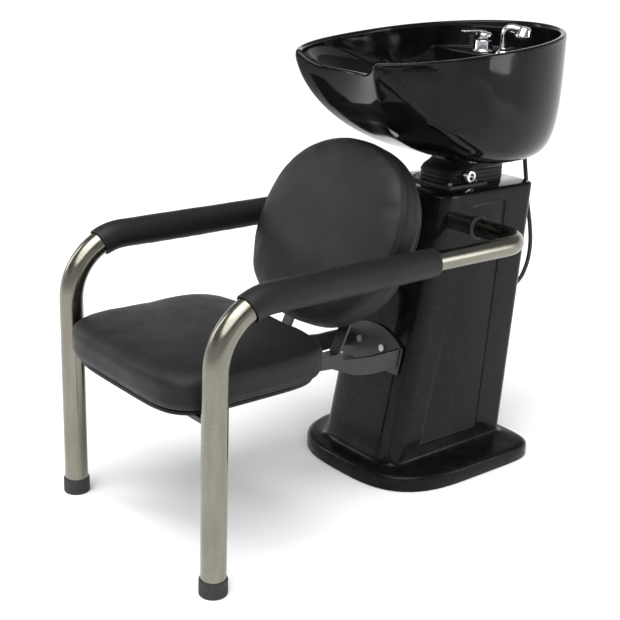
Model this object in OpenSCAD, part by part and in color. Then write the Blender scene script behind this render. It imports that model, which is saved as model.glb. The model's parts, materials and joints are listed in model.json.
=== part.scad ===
// Shampoo sink with chair: a tilting basin on a hollow pedestal, with a fixed arm chair in front.
// +X is the sitter's left, -Y the front of the chair, +Z up. The origin lies on the floor.

/* [Pedestal] */
// Height of the pedestal's flat top
column_h = 662; // [620:1:680]
// Half width of the column at its foot
column_foot_hw = 124; // [116:1:150]
// Half width of the column at its top
column_top_hw = 120; // [112:1:140]
// Front of the column at its foot
column_foot_front = -190; // [-200:1:-165]
// Front of the column at its top
column_top_front = -67; // [-85:1:-50]
// Rear of the column at its foot
column_foot_rear = 193; // [185:1:205]
// Rear of the column at its top
column_top_rear = 247; // [230:1:250]
// Half width of the foot flange
flange_hw = 213.5; // [205:0.5:240]
// Half depth of the foot flange
flange_hl = 229; // [220:0.5:250]
// Height of the foot flange
flange_h = 38; // [30:1:50]
// Wall of the moulded pedestal shell
shell_wall = 5; // [4:0.5:8]

/* [Basin] */
// Half width of the bowl at its rim
rim_hw = 232; // [215:1:245]
// Rise of the neck rest tips above the pedestal's top
rim_front_rise = 301; // [278:1:318]
// Rise of the rim's rear above the pedestal's top
rim_rear_rise = 350; // [328:1:368]
// Distance from the bowl's widest place to the rear of the rim
rim_rear_l = 312; // [290:1:330]
// Half width between the neck rest tips
neck_hw = 125; // [110:1:140]
// How far the neck rest is cut back between its tips
neck_cut = 36; // [20:1:50]
// How far the neck rest dips below its tips
neck_dip = 30; // [15:1:40]
// Wall of the glazed basin
basin_wall = 7; // [5:0.5:9]
// Width of the rolled rim
rim_w = 16; // [14:1:24]
// Radius of the round collar under the basin
collar_r = 81; // [74:1:88]
// Rise of the bowl's floor above the pedestal's top
bowl_floor_rise = 140; // [128:1:158]
// Radius of the drain hole
drain_r = 24; // [20:0.5:27]

/* [Chair] */
// Distance between the front leg axes
leg_span = 531; // [500:1:560]
// Outer radius of the front leg tube
leg_r = 25.4; // [22:0.1:28]
// Wall of the leg and arm tubes
tube_wall = 2; // [1.5:0.1:3]
// Outer radius of the rear arm tube
arm_r = 21.2; // [18:0.1:22]
// Height of the arm tube's axis
arm_z = 576; // [550:1:600]
// Bend radius of the front leg
leg_bend_r = 128; // [110:1:140]
// Bend radius of the rear arm
arm_bend_r = 70; // [60:1:80]
// Y of the front leg axis
leg_y = -769; // [-800:1:-740]
// Part of the leg's bend that the arm pads cover, in degrees
pad_bend = 27; // [15:1:35]
// Y of the rear end of the arm pads
pad_rear_y = -230; // [-250:1:-200]
// Outer radius of the arm pads
pad_r = 30.5; // [29:0.1:34]
// Half width of the seat cushion
seat_hw = 236; // [215:1:237]
// Depth of the seat cushion
seat_l = 415; // [380:1:440]
// Height of the underside of the seat cushion
seat_z = 356; // [345:1:380]
// Thickness of the seat cushion at its edge
seat_t = 72; // [60:1:90]
// Crown of the seat cushion
seat_crown = 12; // [6:1:20]
// Half width of the back cushion
back_hw = 231; // [200:1:232]
// Half height of the back cushion along its slope
back_hh = 216; // [190:1:225]
// Thickness of the back cushion at its edge
back_t = 72; // [45:1:80]
// Crown of the back cushion
back_crown = 14; // [6:1:20]
// Lean of the back from the upright
back_lean = 25; // [15:1:30]

/* [Fits] */
// Running clearance of pins and slides, on the radius
run_gap = 0.05; // [0.02:0.01:0.1]
// Clearance of loose holes, on the radius
hole_gap = 0.4; // [0.3:0.1:1]
// Gap between a soft or moving piece and its neighbour
seat_gap = 0.3; // [0.3:0.1:0.5]

/* [Hidden] */
$fn = 48;
e = 0.01;
steel_c = "#a9a49b";
black_c = "#17171a";
leather_c = "#2b2b2d";
chrome_c = "#c8cacc";
rubber_c = "#1d1d1d";
dark_steel_c = "#26272a";

leg_x = leg_span / 2;
post_y = 4;
post_w = 60;
arm_rear_y = post_y + 57;
arm_cx = leg_x - arm_bend_r;
bend_y = leg_y + leg_bend_r;
joint_y = (bend_y + pad_rear_y) / 2;

// Points of a loft: rings of points joined by triangles, closed at both ends
function flat(l) = [for (a = l) for (b = a) b];
module loft(rings) {
    n = len(rings[0]);
    m = len(rings);
    pts = flat(rings);
    side = [for (k = [0:m - 2]) for (i = [0:n - 1]) each [
        [k * n + i, (k + 1) * n + i, (k + 1) * n + (i + 1) % n],
        [k * n + i, (k + 1) * n + (i + 1) % n, k * n + (i + 1) % n]]];
    low = [for (i = [1:n - 2]) [0, i, i + 1]];
    high = [for (i = [1:n - 2]) [(m - 1) * n, (m - 1) * n + i + 1, (m - 1) * n + i]];
    polyhedron(pts, concat(side, low, high));
}
function mix(a, b, t) = a + (b - a) * t;
function sgn_pow(v, p) = v < 0 ? -pow(-v, p) : pow(v, p);

// Pedestal: the foot flange blends into a column that leans back
col_lean = atan((column_top_front - column_foot_front) / column_h);
rear_lean = atan((column_top_rear - column_foot_rear) / column_h);
function col_front(z) = mix(column_foot_front, column_top_front, z / column_h);
function col_rear(z) = mix(column_foot_rear, column_top_rear, z / column_h);
function col_hw(z) = mix(column_foot_hw, column_top_hw, z / column_h);
col_bow = 70;
col_corner = 26;
col_pow = 5;
front_pow = 3;
front_steps = [0:11.25:90];
rear_steps = [0:30:90];
function col_half(z, off) = let (a = col_hw(z) - off, f = col_front(z) + off, r = col_rear(z) - off) concat(
    [for (s = front_steps) [a * pow(sin(s), 2 / col_pow), f + col_bow * (1 - pow(cos(s), 2 / col_pow)), z]],
    [for (s = rear_steps) [a - col_corner * (1 - cos(s)), r - col_corner * (1 - sin(s)), z]]);
function flange_half(z, off) = let (a = flange_hw - off, l = flange_hl - off) concat(
    [for (s = front_steps) [a * pow(sin(s), 2 / front_pow), -l * pow(cos(s), 2 / front_pow), z]],
    [for (s = rear_steps) let (u = 12 + s * 0.7) [a * pow(cos(u), 0.25), l * pow(sin(u), 0.25), z]]);
function mirror_ring(h) = concat(h, [for (i = [len(h) - 1:-1:1]) [-h[i][0], h[i][1], h[i][2]]]);
function col_ring(z, off) = mirror_ring(col_half(z, off));
function flange_ring(z, off) = mirror_ring(flange_half(z, off));
function xy(r) = [for (p = r) [p[0], p[1]]];

// Waste pipe, post and tilt pin places
base_t = 6;
head_t = 8;
waste_y = 136;
hose_r = 16;
deck_hole_r = 40;
pin_y = 68;
pin_z = column_h + 22;
pin_r = 8;
ear_t = 7;
ear_x = 58;
bolt_x = 38;
bolt_z = 300;
plate_t = 6;
plate_w = 190;
plate_h = 96;
plate_arc_r = 150;
m10_r = 5;
m6_r = 3;
panel_z0 = 150;
panel_z1 = 350;
panel_hw = 72;
panel_t = 3;
panel_mid = (panel_z0 + panel_z1) / 2;
panel_l = (panel_z1 - panel_z0) / cos(rear_lean);
panel_lap = 12;
outlet_z = 100;
outlet_r = 20;
grommet_x = 80;
grommet_z = 398;
grommet_r = 10;
inlet_x = 58;
inlet_r = 10.5;

// Frames on the leaning front and rear faces of the column
module on_front(z) translate([0, col_front(z), z]) rotate([-col_lean, 0, 0]) children();
module on_rear(z) translate([0, col_rear(z), z]) rotate([-rear_lean, 0, 0]) children();
module along_y(r, l) rotate([-90, 0, 0]) cylinder(r = r, h = l);
module along_x(r, l) rotate([0, 90, 0]) cylinder(r = r, h = l);
module in_rows(x, z) for (sx = [-x, x], sz = [-z, z]) translate([sx, 0, sz]) children();

foot_blend = 8;
module pedestal_outer() loft([
    flange_ring(0, 2),
    flange_ring(3, 0),
    flange_ring(flange_h - 12, 0),
    flange_ring(flange_h - 5, 2),
    flange_ring(flange_h - 1, 6),
    flange_ring(flange_h, 11),
    col_ring(flange_h + 0.5, -foot_blend),
    col_ring(flange_h + 4, -3),
    col_ring(flange_h + 14, 0),
    col_ring(column_h / 2, 0),
    col_ring(column_h - 4, 0),
    col_ring(column_h - 1, 1.5),
    col_ring(column_h, 4)]);
module pedestal_inner() loft([
    flange_ring(-1, shell_wall + 2),
    flange_ring(flange_h - shell_wall - 2, shell_wall + 2),
    col_ring(flange_h - shell_wall, shell_wall),
    col_ring(column_h / 2, shell_wall),
    col_ring(column_h - shell_wall, shell_wall)]);
module arm_holes(r) for (s = [0, 1]) mirror([s, 0, 0]) translate([column_foot_hw / 2, arm_rear_y, arm_z])
    along_x(r, column_foot_hw);
// Shallow recess on each side of the column
recess_d = 2;
recess_yz = [[-90, 75], [102, 75], [146, 632], [36, 632]];
module side_recess() translate([column_foot_hw - recess_d, 0, 0])
    rotate([0, -atan((column_foot_hw - column_top_hw) / column_h), 0]) rotate([90, 0, 90])
        linear_extrude(20) polygon(recess_yz);
module pedestal_shell() color(black_c) difference() {
    pedestal_outer();
    pedestal_inner();
    arm_holes(arm_r + 2);
    translate([0, waste_y, column_h - 20]) cylinder(r = deck_hole_r, h = 40);
    for (sx = [-60, 60], y = [20, 100]) translate([sx, y, column_h - 20])
        cylinder(r = m6_r + hole_gap, h = 40);
    on_rear(panel_mid) translate([-panel_hw, -20, -panel_l / 2]) cube([panel_hw * 2, 40, panel_l]);
    on_rear(grommet_z) translate([grommet_x, -20, 0]) along_y(grommet_r, 40);
    on_rear(outlet_z) for (x = [-inlet_x, inlet_x]) translate([x, -30, 0]) along_y(inlet_r + 3, 60);
    translate([0, 130, outlet_z]) along_y(outlet_r + 2, 120);
    for (s = [0, 1]) mirror([s, 0, 0]) side_recess();
    on_front(bolt_z) for (x = [-bolt_x, bolt_x]) translate([x, -20, 0]) along_y(m10_r + hole_gap, 40);
    on_rear(panel_mid) in_rows(panel_hw + panel_lap / 2, panel_l / 2 - 20) translate([0, -20, 0])
        along_y(m6_r + hole_gap, 40);
}
module rear_access_panel() color(black_c) on_rear(panel_mid) difference() {
    translate([-panel_hw - panel_lap, 0, -panel_l / 2 - panel_lap])
        cube([2 * (panel_hw + panel_lap), panel_t, panel_l + 2 * panel_lap]);
    in_rows(panel_hw + panel_lap / 2, panel_l / 2 - 20) translate([0, -1, 0]) along_y(m6_r, panel_t + 2);
}
module pan_screw(r, l, head_r, head_h) {
    cylinder(r = r, h = l);
    difference() {
        translate([0, 0, l]) cylinder(r1 = head_r, r2 = head_r * 0.7, h = head_h);
        translate([0, 0, l + head_h * 0.4]) cylinder(r = head_r * 0.3, h = head_h, $fn = 6);
    }
}
module hex_bolt(r, l, head_h) {
    translate([0, 0, -e]) cylinder(r = r, h = l + e);
    translate([0, 0, l]) cylinder(r = r * 1.75, h = head_h, $fn = 6);
}
module access_panel_screws() color(chrome_c) on_rear(panel_mid)
    in_rows(panel_hw + panel_lap / 2, panel_l / 2 - 20) translate([0, panel_t - 14, 0]) rotate([-90, 0, 0])
        pan_screw(m6_r, 14, 6, 3);
module base_plate() color(dark_steel_c) linear_extrude(base_t) polygon(xy(flange_ring(0, shell_wall + 3)));
post_top = column_h - shell_wall;
module support_post() color(dark_steel_c) difference() {
    union() {
        translate([-post_w / 2, post_y - post_w / 2, base_t]) cube([post_w, post_w, post_top - base_t]);
        translate([-75, post_y - 40, post_top - head_t]) cube([150, 150, head_t]);
        translate([-70, post_y - 60, base_t]) cube([140, 120, 5]);
    }
    translate([-post_w / 2 + 4, post_y - post_w / 2 + 4, base_t - 1])
        cube([post_w - 8, post_w - 8, post_top - base_t - head_t + 1]);
    translate([0, waste_y, post_top - head_t - 1]) cylinder(r = deck_hole_r, h = head_t + 2);
    for (sx = [-60, 60], y = [20, 100]) translate([sx, y, post_top - head_t - 1])
        cylinder(r = m6_r, h = head_t + 2);
}
// Cross tube behind the post that holds the ends of both rear arms
socket_l = 90;
socket_r = arm_r + 3.5;
module arm_socket_tube() color(dark_steel_c) difference() {
    union() {
        translate([-socket_l, arm_rear_y, arm_z]) along_x(socket_r, 2 * socket_l);
        translate([-20, post_y + post_w / 2, arm_z - 18]) cube([40, arm_rear_y - post_y - post_w / 2, 36]);
    }
    translate([-socket_l - 1, arm_rear_y, arm_z]) along_x(arm_r + run_gap, 2 * socket_l + 2);
}
deck_t = 6;
deck_z = column_h + deck_t;
module deck_bracket() color(dark_steel_c) difference() {
    union() {
        translate([-80, 0, column_h]) cube([160, 120, deck_t]);
        for (s = [-1, 1]) translate([s * ear_x - ear_t / 2, pin_y, 0]) {
            translate([0, -22, deck_z - e]) cube([ear_t, 44, pin_z - deck_z]);
            translate([0, 0, pin_z]) along_x(14, ear_t);
        }
    }
    translate([0, waste_y, column_h - 1]) cylinder(r = deck_hole_r, h = deck_t + 2);
    translate([-ear_x - ear_t, pin_y, pin_z]) along_x(pin_r + run_gap, 2 * (ear_x + ear_t));
    for (sx = [-60, 60], y = [20, 100]) translate([sx, y, column_h - 1]) cylinder(r = m6_r, h = deck_t + 2);
}
module deck_screws() color(chrome_c) for (sx = [-60, 60], y = [20, 100])
    translate([sx, y, deck_z - 20]) hex_bolt(m6_r, 20, 4);

// Basin: rim, outer belly down to the round collar, and the bowl inside
rim_front_z = column_h + rim_front_rise;
rim_rear_z = column_h + rim_rear_rise;
bowl_floor_z = column_h + bowl_floor_rise;
rim_cy = 31;
tip_y = -292;
side_l = 355;
side_pow = 2.5;
collar_z = pin_z + 22;
belly_z = collar_z + 20;
floor_r = 44;
tap_y = 182;
tap_z = column_h + 283;
tap_wall = basin_wall;
u_tip = asin(pow((rim_cy - tip_y) / side_l, side_pow / 2));
side_k = (rim_hw - neck_hw) / (rim_hw * (1 - pow(cos(u_tip), 2 / side_pow)));
function rim_z(y) = mix(rim_front_z, rim_rear_z, (y - tip_y) / (rim_cy + rim_rear_l - tip_y));
function at_rim(x, y) = [x, y, rim_z(y)];
rim_half = concat(
    [for (s = [0:0.25:1])
        [s * neck_hw, tip_y + neck_cut * (1 - s * s), rim_front_z - neck_dip * (1 - pow(s, 4))]],
    [for (i = [7:-1:0]) let (u = u_tip * i / 8) at_rim(
        rim_hw - side_k * rim_hw * (1 - pow(cos(u), 2 / side_pow)),
        rim_cy - side_l * pow(sin(u), 2 / side_pow))],
    [for (i = [1:8]) let (v = i * 11.25) at_rim(rim_hw * cos(v), rim_cy + rim_rear_l * sin(v))]);
bowl_c = [0, 60];
function pull(p, d) = let (v = [bowl_c[0] - p[0], bowl_c[1] - p[1]], n = norm(v))
    [p[0] + v[0] / n * d, p[1] + v[1] / n * d, p[2]];
function round_base(p, r, z) = let (a = atan2(p[1] - waste_y, p[0])) [r * cos(a), waste_y + r * sin(a), z];
function ease(t) = t < 0 ? 0 : t > 1 ? 1 : t * t * (3 - 2 * t);
function swell(p, low, high) = mix(low, high, ease((p[1] - tip_y) / 420));
// One ring of a bowl surface between the rim and a round base, at the angle s
function bowl_ring(s, inset, r, z, low, high, drop) = mirror_ring([for (q = rim_half)
    let (p = pull(q, inset), b = round_base(q, r, z), m = swell(q, low, high),
        f = pow(cos(s), 2 / m), g = pow(sin(s), 2 / m))
    [mix(b[0], p[0], f), mix(b[1], p[1], f), p[2] - drop - (p[2] - drop - z) * g]]);
front_m = 1.75;
rear_m = 4.5;
steps = [90, 80, 68, 57, 46, 35, 24, 13, 0];
module outer_belly(inset, drop) loft(concat(
    [[for (q = bowl_ring(90, inset, collar_r - inset, belly_z, front_m, rear_m, 0))
        [q[0], q[1], collar_z - (inset > 0 ? 1 : 0)]]],
    [for (s = steps) bowl_ring(s, inset, collar_r - inset, belly_z + inset, front_m, rear_m, drop)]));
module bowl_space(out) loft(concat(
    [for (s = steps) bowl_ring(s, rim_w - out, floor_r + out, bowl_floor_z - out, 1.5, 2.6, 4)],
    [[for (q = bowl_ring(0, rim_w - out, floor_r, bowl_floor_z, 1.5, 2.6, 0)) [q[0], q[1], q[2] + 60]]]));
module tap_block(grow) translate([-rim_hw, tap_y + grow, bowl_floor_z - 60])
    cube([2 * rim_hw, rim_rear_l, tap_z - grow - bowl_floor_z + 60]);
mixer_x = -52;
holder_x = 14;
tap_cy = 214;
mixer_hole_r = 12;
holder_hole_r = 13;
exit_hole_r = 9;
module basin_bowl() color(black_c) difference() {
    union() {
        difference() {
            outer_belly(0, 0);
            outer_belly(basin_wall, 12);
        }
        difference() {
            intersection() {
                outer_belly(0, 0);
                bowl_space(basin_wall);
            }
            tap_block(basin_wall);
        }
        basin_lugs();
    }
    difference() {
        bowl_space(0);
        tap_block(0);
    }
    translate([0, waste_y, bowl_floor_z - 20]) cylinder(r = drain_r, h = 40);
    translate([mixer_x, tap_cy, tap_z - 20]) cylinder(r = mixer_hole_r, h = 40);
    translate([holder_x, tap_cy, tap_z - 20]) cylinder(r = holder_hole_r, h = 40);
    translate([exit_x, exit_y, belly_z - 20]) cylinder(r = exit_hole_r, h = 50);
}

// Saddle under the collar: it turns on the tilt pin and carries the basin
saddle_t = 6;
saddle_in_r = 40;
saddle_screw_r = 66;
module saddle_spots() for (a = [30, 150, 210, 330])
    translate([saddle_screw_r * cos(a), waste_y + saddle_screw_r * sin(a), 0]) children();
saddle_ear_x = ear_x - ear_t - seat_gap;
module basin_saddle() color(dark_steel_c) difference() {
    union() {
        translate([0, waste_y, collar_z - saddle_t]) cylinder(r = collar_r - 4, h = saddle_t);
        for (s = [-1, 1]) translate([s * saddle_ear_x - ear_t / 2, pin_y, 0]) {
            translate([0, -14, pin_z]) cube([ear_t, 40, collar_z - saddle_t - pin_z + 1]);
            translate([0, 0, pin_z]) along_x(14, ear_t);
        }
    }
    translate([0, waste_y, collar_z - saddle_t - 1]) cylinder(r = saddle_in_r, h = saddle_t + 2);
    translate([-ear_x, pin_y, pin_z]) along_x(pin_r + run_gap, 2 * ear_x);
    saddle_spots() translate([0, 0, collar_z - saddle_t - 1]) cylinder(r = m6_r, h = saddle_t + 2);
}
module basin_lugs() saddle_spots() difference() {
    translate([0, 0, collar_z]) cylinder(r = 9, h = 16);
    translate([0, 0, collar_z - 1]) cylinder(r = m6_r, h = 14);
}
module saddle_screws() color(chrome_c) saddle_spots() translate([0, 0, collar_z + 11]) rotate([180, 0, 0])
    hex_bolt(m6_r, 11 + saddle_t, 4);
pin_end = ear_x + ear_t / 2 + 12;
module tilt_pin() color(chrome_c) {
    translate([-pin_end + 12 - seat_gap, pin_y, pin_z]) along_x(pin_r, 2 * pin_end - 12 + seat_gap);
    translate([-pin_end + 6, pin_y, pin_z]) along_x(pin_r + 4, 6 - seat_gap);
}
knob_r = 15;
knob_l = 18;
module tilt_lock_knob() color(chrome_c) difference() {
    translate([ear_x + ear_t / 2 + seat_gap, pin_y, pin_z]) {
        along_x(11, 4);
        translate([4, 0, 0]) along_x(knob_r, knob_l - 4);
    }
    translate([ear_x, pin_y, pin_z]) along_x(pin_r + run_gap, pin_end - ear_x + 0.5);
    for (a = [0:30:330])
        translate([ear_x, pin_y + knob_r * cos(a), pin_z + knob_r * sin(a)]) along_x(1.6, 40);
}

// Drain: flange in the bowl's floor, gasket and nut below, strainer in the flange
drain_wall_z = bowl_floor_z - basin_wall;
drain_tube_r = drain_r - 2.5;
drain_in_r = drain_tube_r - 2.5;
drain_low = bowl_floor_z - 40;
module drain_flange() color(chrome_c) difference() {
    union() {
        translate([0, waste_y, bowl_floor_z]) cylinder(r1 = 35, r2 = 33, h = 2.5);
        translate([0, waste_y, drain_low]) cylinder(r = drain_tube_r, h = bowl_floor_z - drain_low + 1);
    }
    translate([0, waste_y, drain_low - 1]) cylinder(r = drain_in_r, h = 60);
}
module drain_gasket() color(rubber_c) translate([0, waste_y, drain_wall_z - 3]) difference() {
    cylinder(r = 34, h = 3);
    translate([0, 0, -1]) cylinder(r = drain_tube_r, h = 5);
}
module drain_nut() color(chrome_c) translate([0, waste_y, drain_wall_z - 13]) difference() {
    cylinder(r = 33, h = 10, $fn = 6);
    translate([0, 0, -1]) cylinder(r = drain_tube_r, h = 12);
}
strainer_r = drain_in_r - run_gap;
module drain_strainer() color(chrome_c) translate([0, waste_y, bowl_floor_z - 14]) difference() {
    union() {
        cylinder(r = strainer_r, h = 16.5);
        translate([0, 0, 16.5 + seat_gap]) cylinder(r = 30, h = 2);
        cylinder(r = strainer_r - 1, h = 17.5);
    }
    translate([0, 0, -1]) cylinder(r = strainer_r - 2, h = 16);
    for (q = [[0, 0], [1, 6], [2, 12]], i = [0:max(0, q[1] - 1)])
        rotate([0, 0, i * 360 / max(1, q[1])]) translate([q[0] * 6.2, 0, 5]) cylinder(r = 1.7, h = 20);
}
tail_low = collar_z - 8;
module tailpiece() color("#3a3b3d") translate([0, waste_y, tail_low]) difference() {
    union() {
        cylinder(r = hose_r, h = drain_low - tail_low);
        translate([0, 0, drain_low - tail_low - 8]) cylinder(r = drain_tube_r + 5, h = 20);
    }
    translate([0, 0, -1]) cylinder(r = hose_r - 2.5, h = 80);
    translate([0, 0, drain_low - tail_low]) cylinder(r = drain_tube_r + run_gap, h = 20);
}

// A tube swept along a route: rings square to a smooth curve through the route's points
function unit(v) = v / norm(v);
function spline(a, b, c, d, t) = 0.5 * (2 * b + (c - a) * t + (2 * a - 5 * b + 4 * c - d) * t * t
    + (3 * b - a - 3 * c + d) * t * t * t);
function before(p, i) = i == 0 ? 2 * p[0] - p[1] : p[i - 1];
function after(p, i, n) = i == n - 2 ? 2 * p[n - 1] - p[n - 2] : p[i + 2];
function curve(p, k) = let (n = len(p)) concat([for (i = [0:n - 2], j = [0:k - 1])
    spline(before(p, i), p[i], p[i + 1], after(p, i, n), j / k)], [p[n - 1]]);
function heading(c, i, n) = unit(c[min(i + 1, n - 1)] - c[max(i - 1, 0)]);
module hose(route, r, k) {
    c = curve(route, k);
    n = len(c);
    loft([for (i = [n - 1:-1:0]) let (t = heading(c, i, n), u = unit([1, 0, 0] - t[0] * t), v = cross(u, t))
        [for (a = [0:45:315]) c[i] + r / cos(22.5) * 0.96 * (u * cos(a) - v * sin(a))]]);
}
elbow_y = 148;
elbow_top = outlet_z + 40;
waste_route = [
    [0, 136, tail_low - seat_gap], [0, 136, column_h + 18], [0, 136, 0.967 * column_h],
    [0, 140, 0.846 * column_h], [0, 146, 0.665 * column_h], [0, 148, 0.483 * column_h],
    [0, 148, 0.332 * column_h], [0, 148, elbow_top + 20], [0, 148, elbow_top]];
outlet_in_r = outlet_r - 1;
outlet_y = 204;
outlet_l = 24;
module waste_hose() color(rubber_c) hose(waste_route, hose_r, 2);
module waste_outlet() color("#3a3b3d") difference() {
    union() {
        translate([0, elbow_y, outlet_z]) cylinder(r = outlet_in_r, h = elbow_top - outlet_z);
        translate([0, elbow_y, outlet_z]) sphere(r = outlet_in_r);
        translate([0, elbow_y, outlet_z]) along_y(outlet_in_r, outlet_y - elbow_y);
        translate([0, outlet_y, outlet_z]) along_y(outlet_r, outlet_l);
    }
    translate([0, elbow_y, outlet_z]) along_y(outlet_r - 4, 90);
    translate([0, elbow_y, outlet_z]) cylinder(r = outlet_r - 6, h = 60);
}

// Mixer, hand spray and their hoses
tap_low = tap_z - tap_wall;
mixer_r = 21;
mixer_h = 27;
module mixer_body() color(chrome_c) {
    translate([mixer_x, tap_cy, tap_z]) {
        cylinder(r = 27, h = 4);
        translate([0, 0, 4]) cylinder(r1 = mixer_r + 2, r2 = mixer_r, h = mixer_h - 4);
        cylinder(r = 12, h = mixer_h + 4);
        translate([0, 0, -24]) cylinder(r = 11, h = 25);
    }
}
cap_z = tap_z + mixer_h + seat_gap;
cap_h = 17;
module mixer_cap() color(chrome_c) translate([mixer_x, tap_cy, cap_z]) difference() {
    cylinder(r1 = mixer_r, r2 = 17, h = cap_h);
    translate([0, 0, -1]) cylinder(r = 12 + run_gap, h = 5);
    translate([-6 - seat_gap, -30, 5]) cube([12 + 2 * seat_gap, 60, 20]);
    translate([-30, 0, 11]) along_x(2.5 + run_gap, 60);
}
lever_z = cap_z + 11;
module mixer_lever() color(chrome_c) translate([mixer_x, tap_cy, lever_z]) {
    translate([-6, 0, 0]) along_x(5, 12);
    translate([-14, 0, 0]) along_x(2.5, 28);
    translate([-6, -4, 0]) cube([12, 8, 9]);
    translate([-6, -62, 6]) cube([12, 66, 5]);
    translate([0, -62, 6]) cylinder(r = 9, h = 5);
}
module mixer_nut() color(chrome_c) translate([mixer_x, tap_cy, tap_low - 8]) difference() {
    cylinder(r = 20, h = 8, $fn = 6);
    translate([0, 0, -1]) cylinder(r = 11, h = 10);
}
spray_r = 10;
spray_turn = 40;
module spray_holder() color(chrome_c) translate([holder_x, tap_cy, 0]) difference() {
    union() {
        translate([0, 0, tap_z]) cylinder(r1 = 19, r2 = 17, h = 8);
        translate([0, 0, tap_low - 20]) cylinder(r = holder_hole_r, h = 28);
        translate([0, 0, tap_low - 8]) cylinder(r = 20, h = 8, $fn = 6);
    }
    translate([0, 0, tap_low - 30]) cylinder(r = spray_r + run_gap, h = 60);
}
head_z = tap_z + 62;
tail_z = tap_z - 87;
module spray_head() color(chrome_c) translate([holder_x, tap_cy, 0]) {
    translate([0, 0, tap_low - 20]) cylinder(r = spray_r, h = head_z - tap_low + 20);
    translate([0, 0, tap_z + 8 + seat_gap]) cylinder(r = 12, h = 6);
    translate([0, 0, head_z]) sphere(r = spray_r + 0.8);
    translate([0, 0, tail_z]) cylinder(r = hose_small_r, h = tap_low - 20 - tail_z + 1);
    translate([0, 0, head_z]) rotate([0, 10, spray_turn]) {
        along_x(spray_r, 34);
        translate([44, 0, -14]) cylinder(r1 = 21, r2 = 14, h = 24);
    }
}
module spray_face() color("#3a3b3d") translate([holder_x, tap_cy, head_z]) rotate([0, 10, spray_turn])
    translate([44, 0, -17]) difference() {
        cylinder(r = 19, h = 3);
        for (q = [[7, 6], [13.5, 12]], i = [0:q[1] - 1])
            rotate([0, 0, i * 360 / q[1]]) translate([q[0], 0, -1]) cylinder(r = 1, h = 2.5);
    }
exit_x = 80;
exit_y = 244;
exit_z = belly_z + 5;
hose_small_r = 5;
gland_y = col_rear(grommet_z);
spray_route = [
    [holder_x, tap_cy, tail_z - seat_gap], [holder_x, tap_cy, column_h + 178],
    [20, 218, column_h + 150], [40, 230, column_h + 124], [66, 241, column_h + 106],
    [exit_x, exit_y, column_h + 90], [exit_x, exit_y, column_h + 74], [exit_x, exit_y, column_h + 56],
    [80, 249, column_h + 28], [80, 258, 0.982 * column_h], [80, 269, 0.906 * column_h],
    [80, 284, 0.828 * column_h], [80, 293, 0.755 * column_h], [80, 290, 0.687 * column_h],
    [80, 273, 0.630 * column_h], [80, gland_y + 22, grommet_z], [80, gland_y + 8, grommet_z - 1],
    [80, gland_y - 3, grommet_z]];
module spray_hose() color(rubber_c) hose(spray_route, hose_small_r, 2);
module basin_grommet() color(rubber_c) translate([exit_x, exit_y, exit_z]) difference() {
    union() {
        translate([0, 0, -6]) cylinder(r = exit_hole_r - hole_gap, h = 14);
        translate([0, 0, -10]) cylinder(r = exit_hole_r + 3, h = 6);
    }
    translate([0, 0, -20]) cylinder(r = hose_small_r + 1.2, h = 50);
}
module column_grommet() color(rubber_c) on_rear(grommet_z) translate([grommet_x, 0, 0]) difference() {
    union() {
        translate([0, -shell_wall - 1, 0]) along_y(grommet_r - hole_gap, shell_wall + 2);
        translate([0, seat_gap, 0]) along_y(grommet_r + 4, 3);
    }
    translate([0, -20, 0]) along_y(hose_small_r, 40);
}
water_r = 4.5;
inlet_y = 165;
inlet_top = 125;
inlet_in_r = 9.5;
hot_route = [
    [-57.5, tap_cy, tap_z - 24.3], [-58, 215, column_h + 218], [-60, 222, column_h + 168],
    [-58, 217, column_h + 128], [-53, 196, column_h + 106], [-46, 172, column_h + 84],
    [-34, 140, column_h + 52], [-34, 138, 1.000 * column_h], [-44, 144, 0.906 * column_h],
    [-56, 158, 0.755 * column_h], [-58, 165, 0.604 * column_h], [-58, 165, 0.393 * column_h],
    [-58, 165, inlet_top - 10]];
cold_route = [
    [-46.5, tap_cy, tap_z - 24.3], [-46, 215, column_h + 218], [-43, 222, column_h + 168],
    [-41, 218, column_h + 128], [-38, 204, column_h + 106], [-31, 182, column_h + 82],
    [-23, 160, column_h + 52], [-23, 160, 1.000 * column_h], [-12, 178, 0.929 * column_h],
    [20, 188, 0.846 * column_h], [50, 176, 0.740 * column_h], [58, 165, 0.604 * column_h],
    [58, 165, 0.393 * column_h], [58, 165, inlet_top - 10]];
module hot_hose() color("#5a5c60") hose(hot_route, water_r, 2);
module cold_hose() color("#5a5c60") hose(cold_route, water_r, 2);
module inlet(x) translate([x, inlet_y, outlet_z]) difference() {
    union() {
        cylinder(r = 9, h = inlet_top - outlet_z);
        sphere(r = inlet_in_r);
        along_y(inlet_in_r, outlet_y - inlet_y);
        translate([0, outlet_y - inlet_y, 0]) along_y(inlet_r, 20);
        translate([0, 12, 0]) rotate([-90, 0, 0]) cylinder(r = 15, h = 8, $fn = 6);
    }
    along_y(6, 80);
    cylinder(r = water_r, h = 40);
}
module hot_inlet() color(chrome_c) inlet(-inlet_x);
module cold_inlet() color(chrome_c) inlet(inlet_x);

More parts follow.
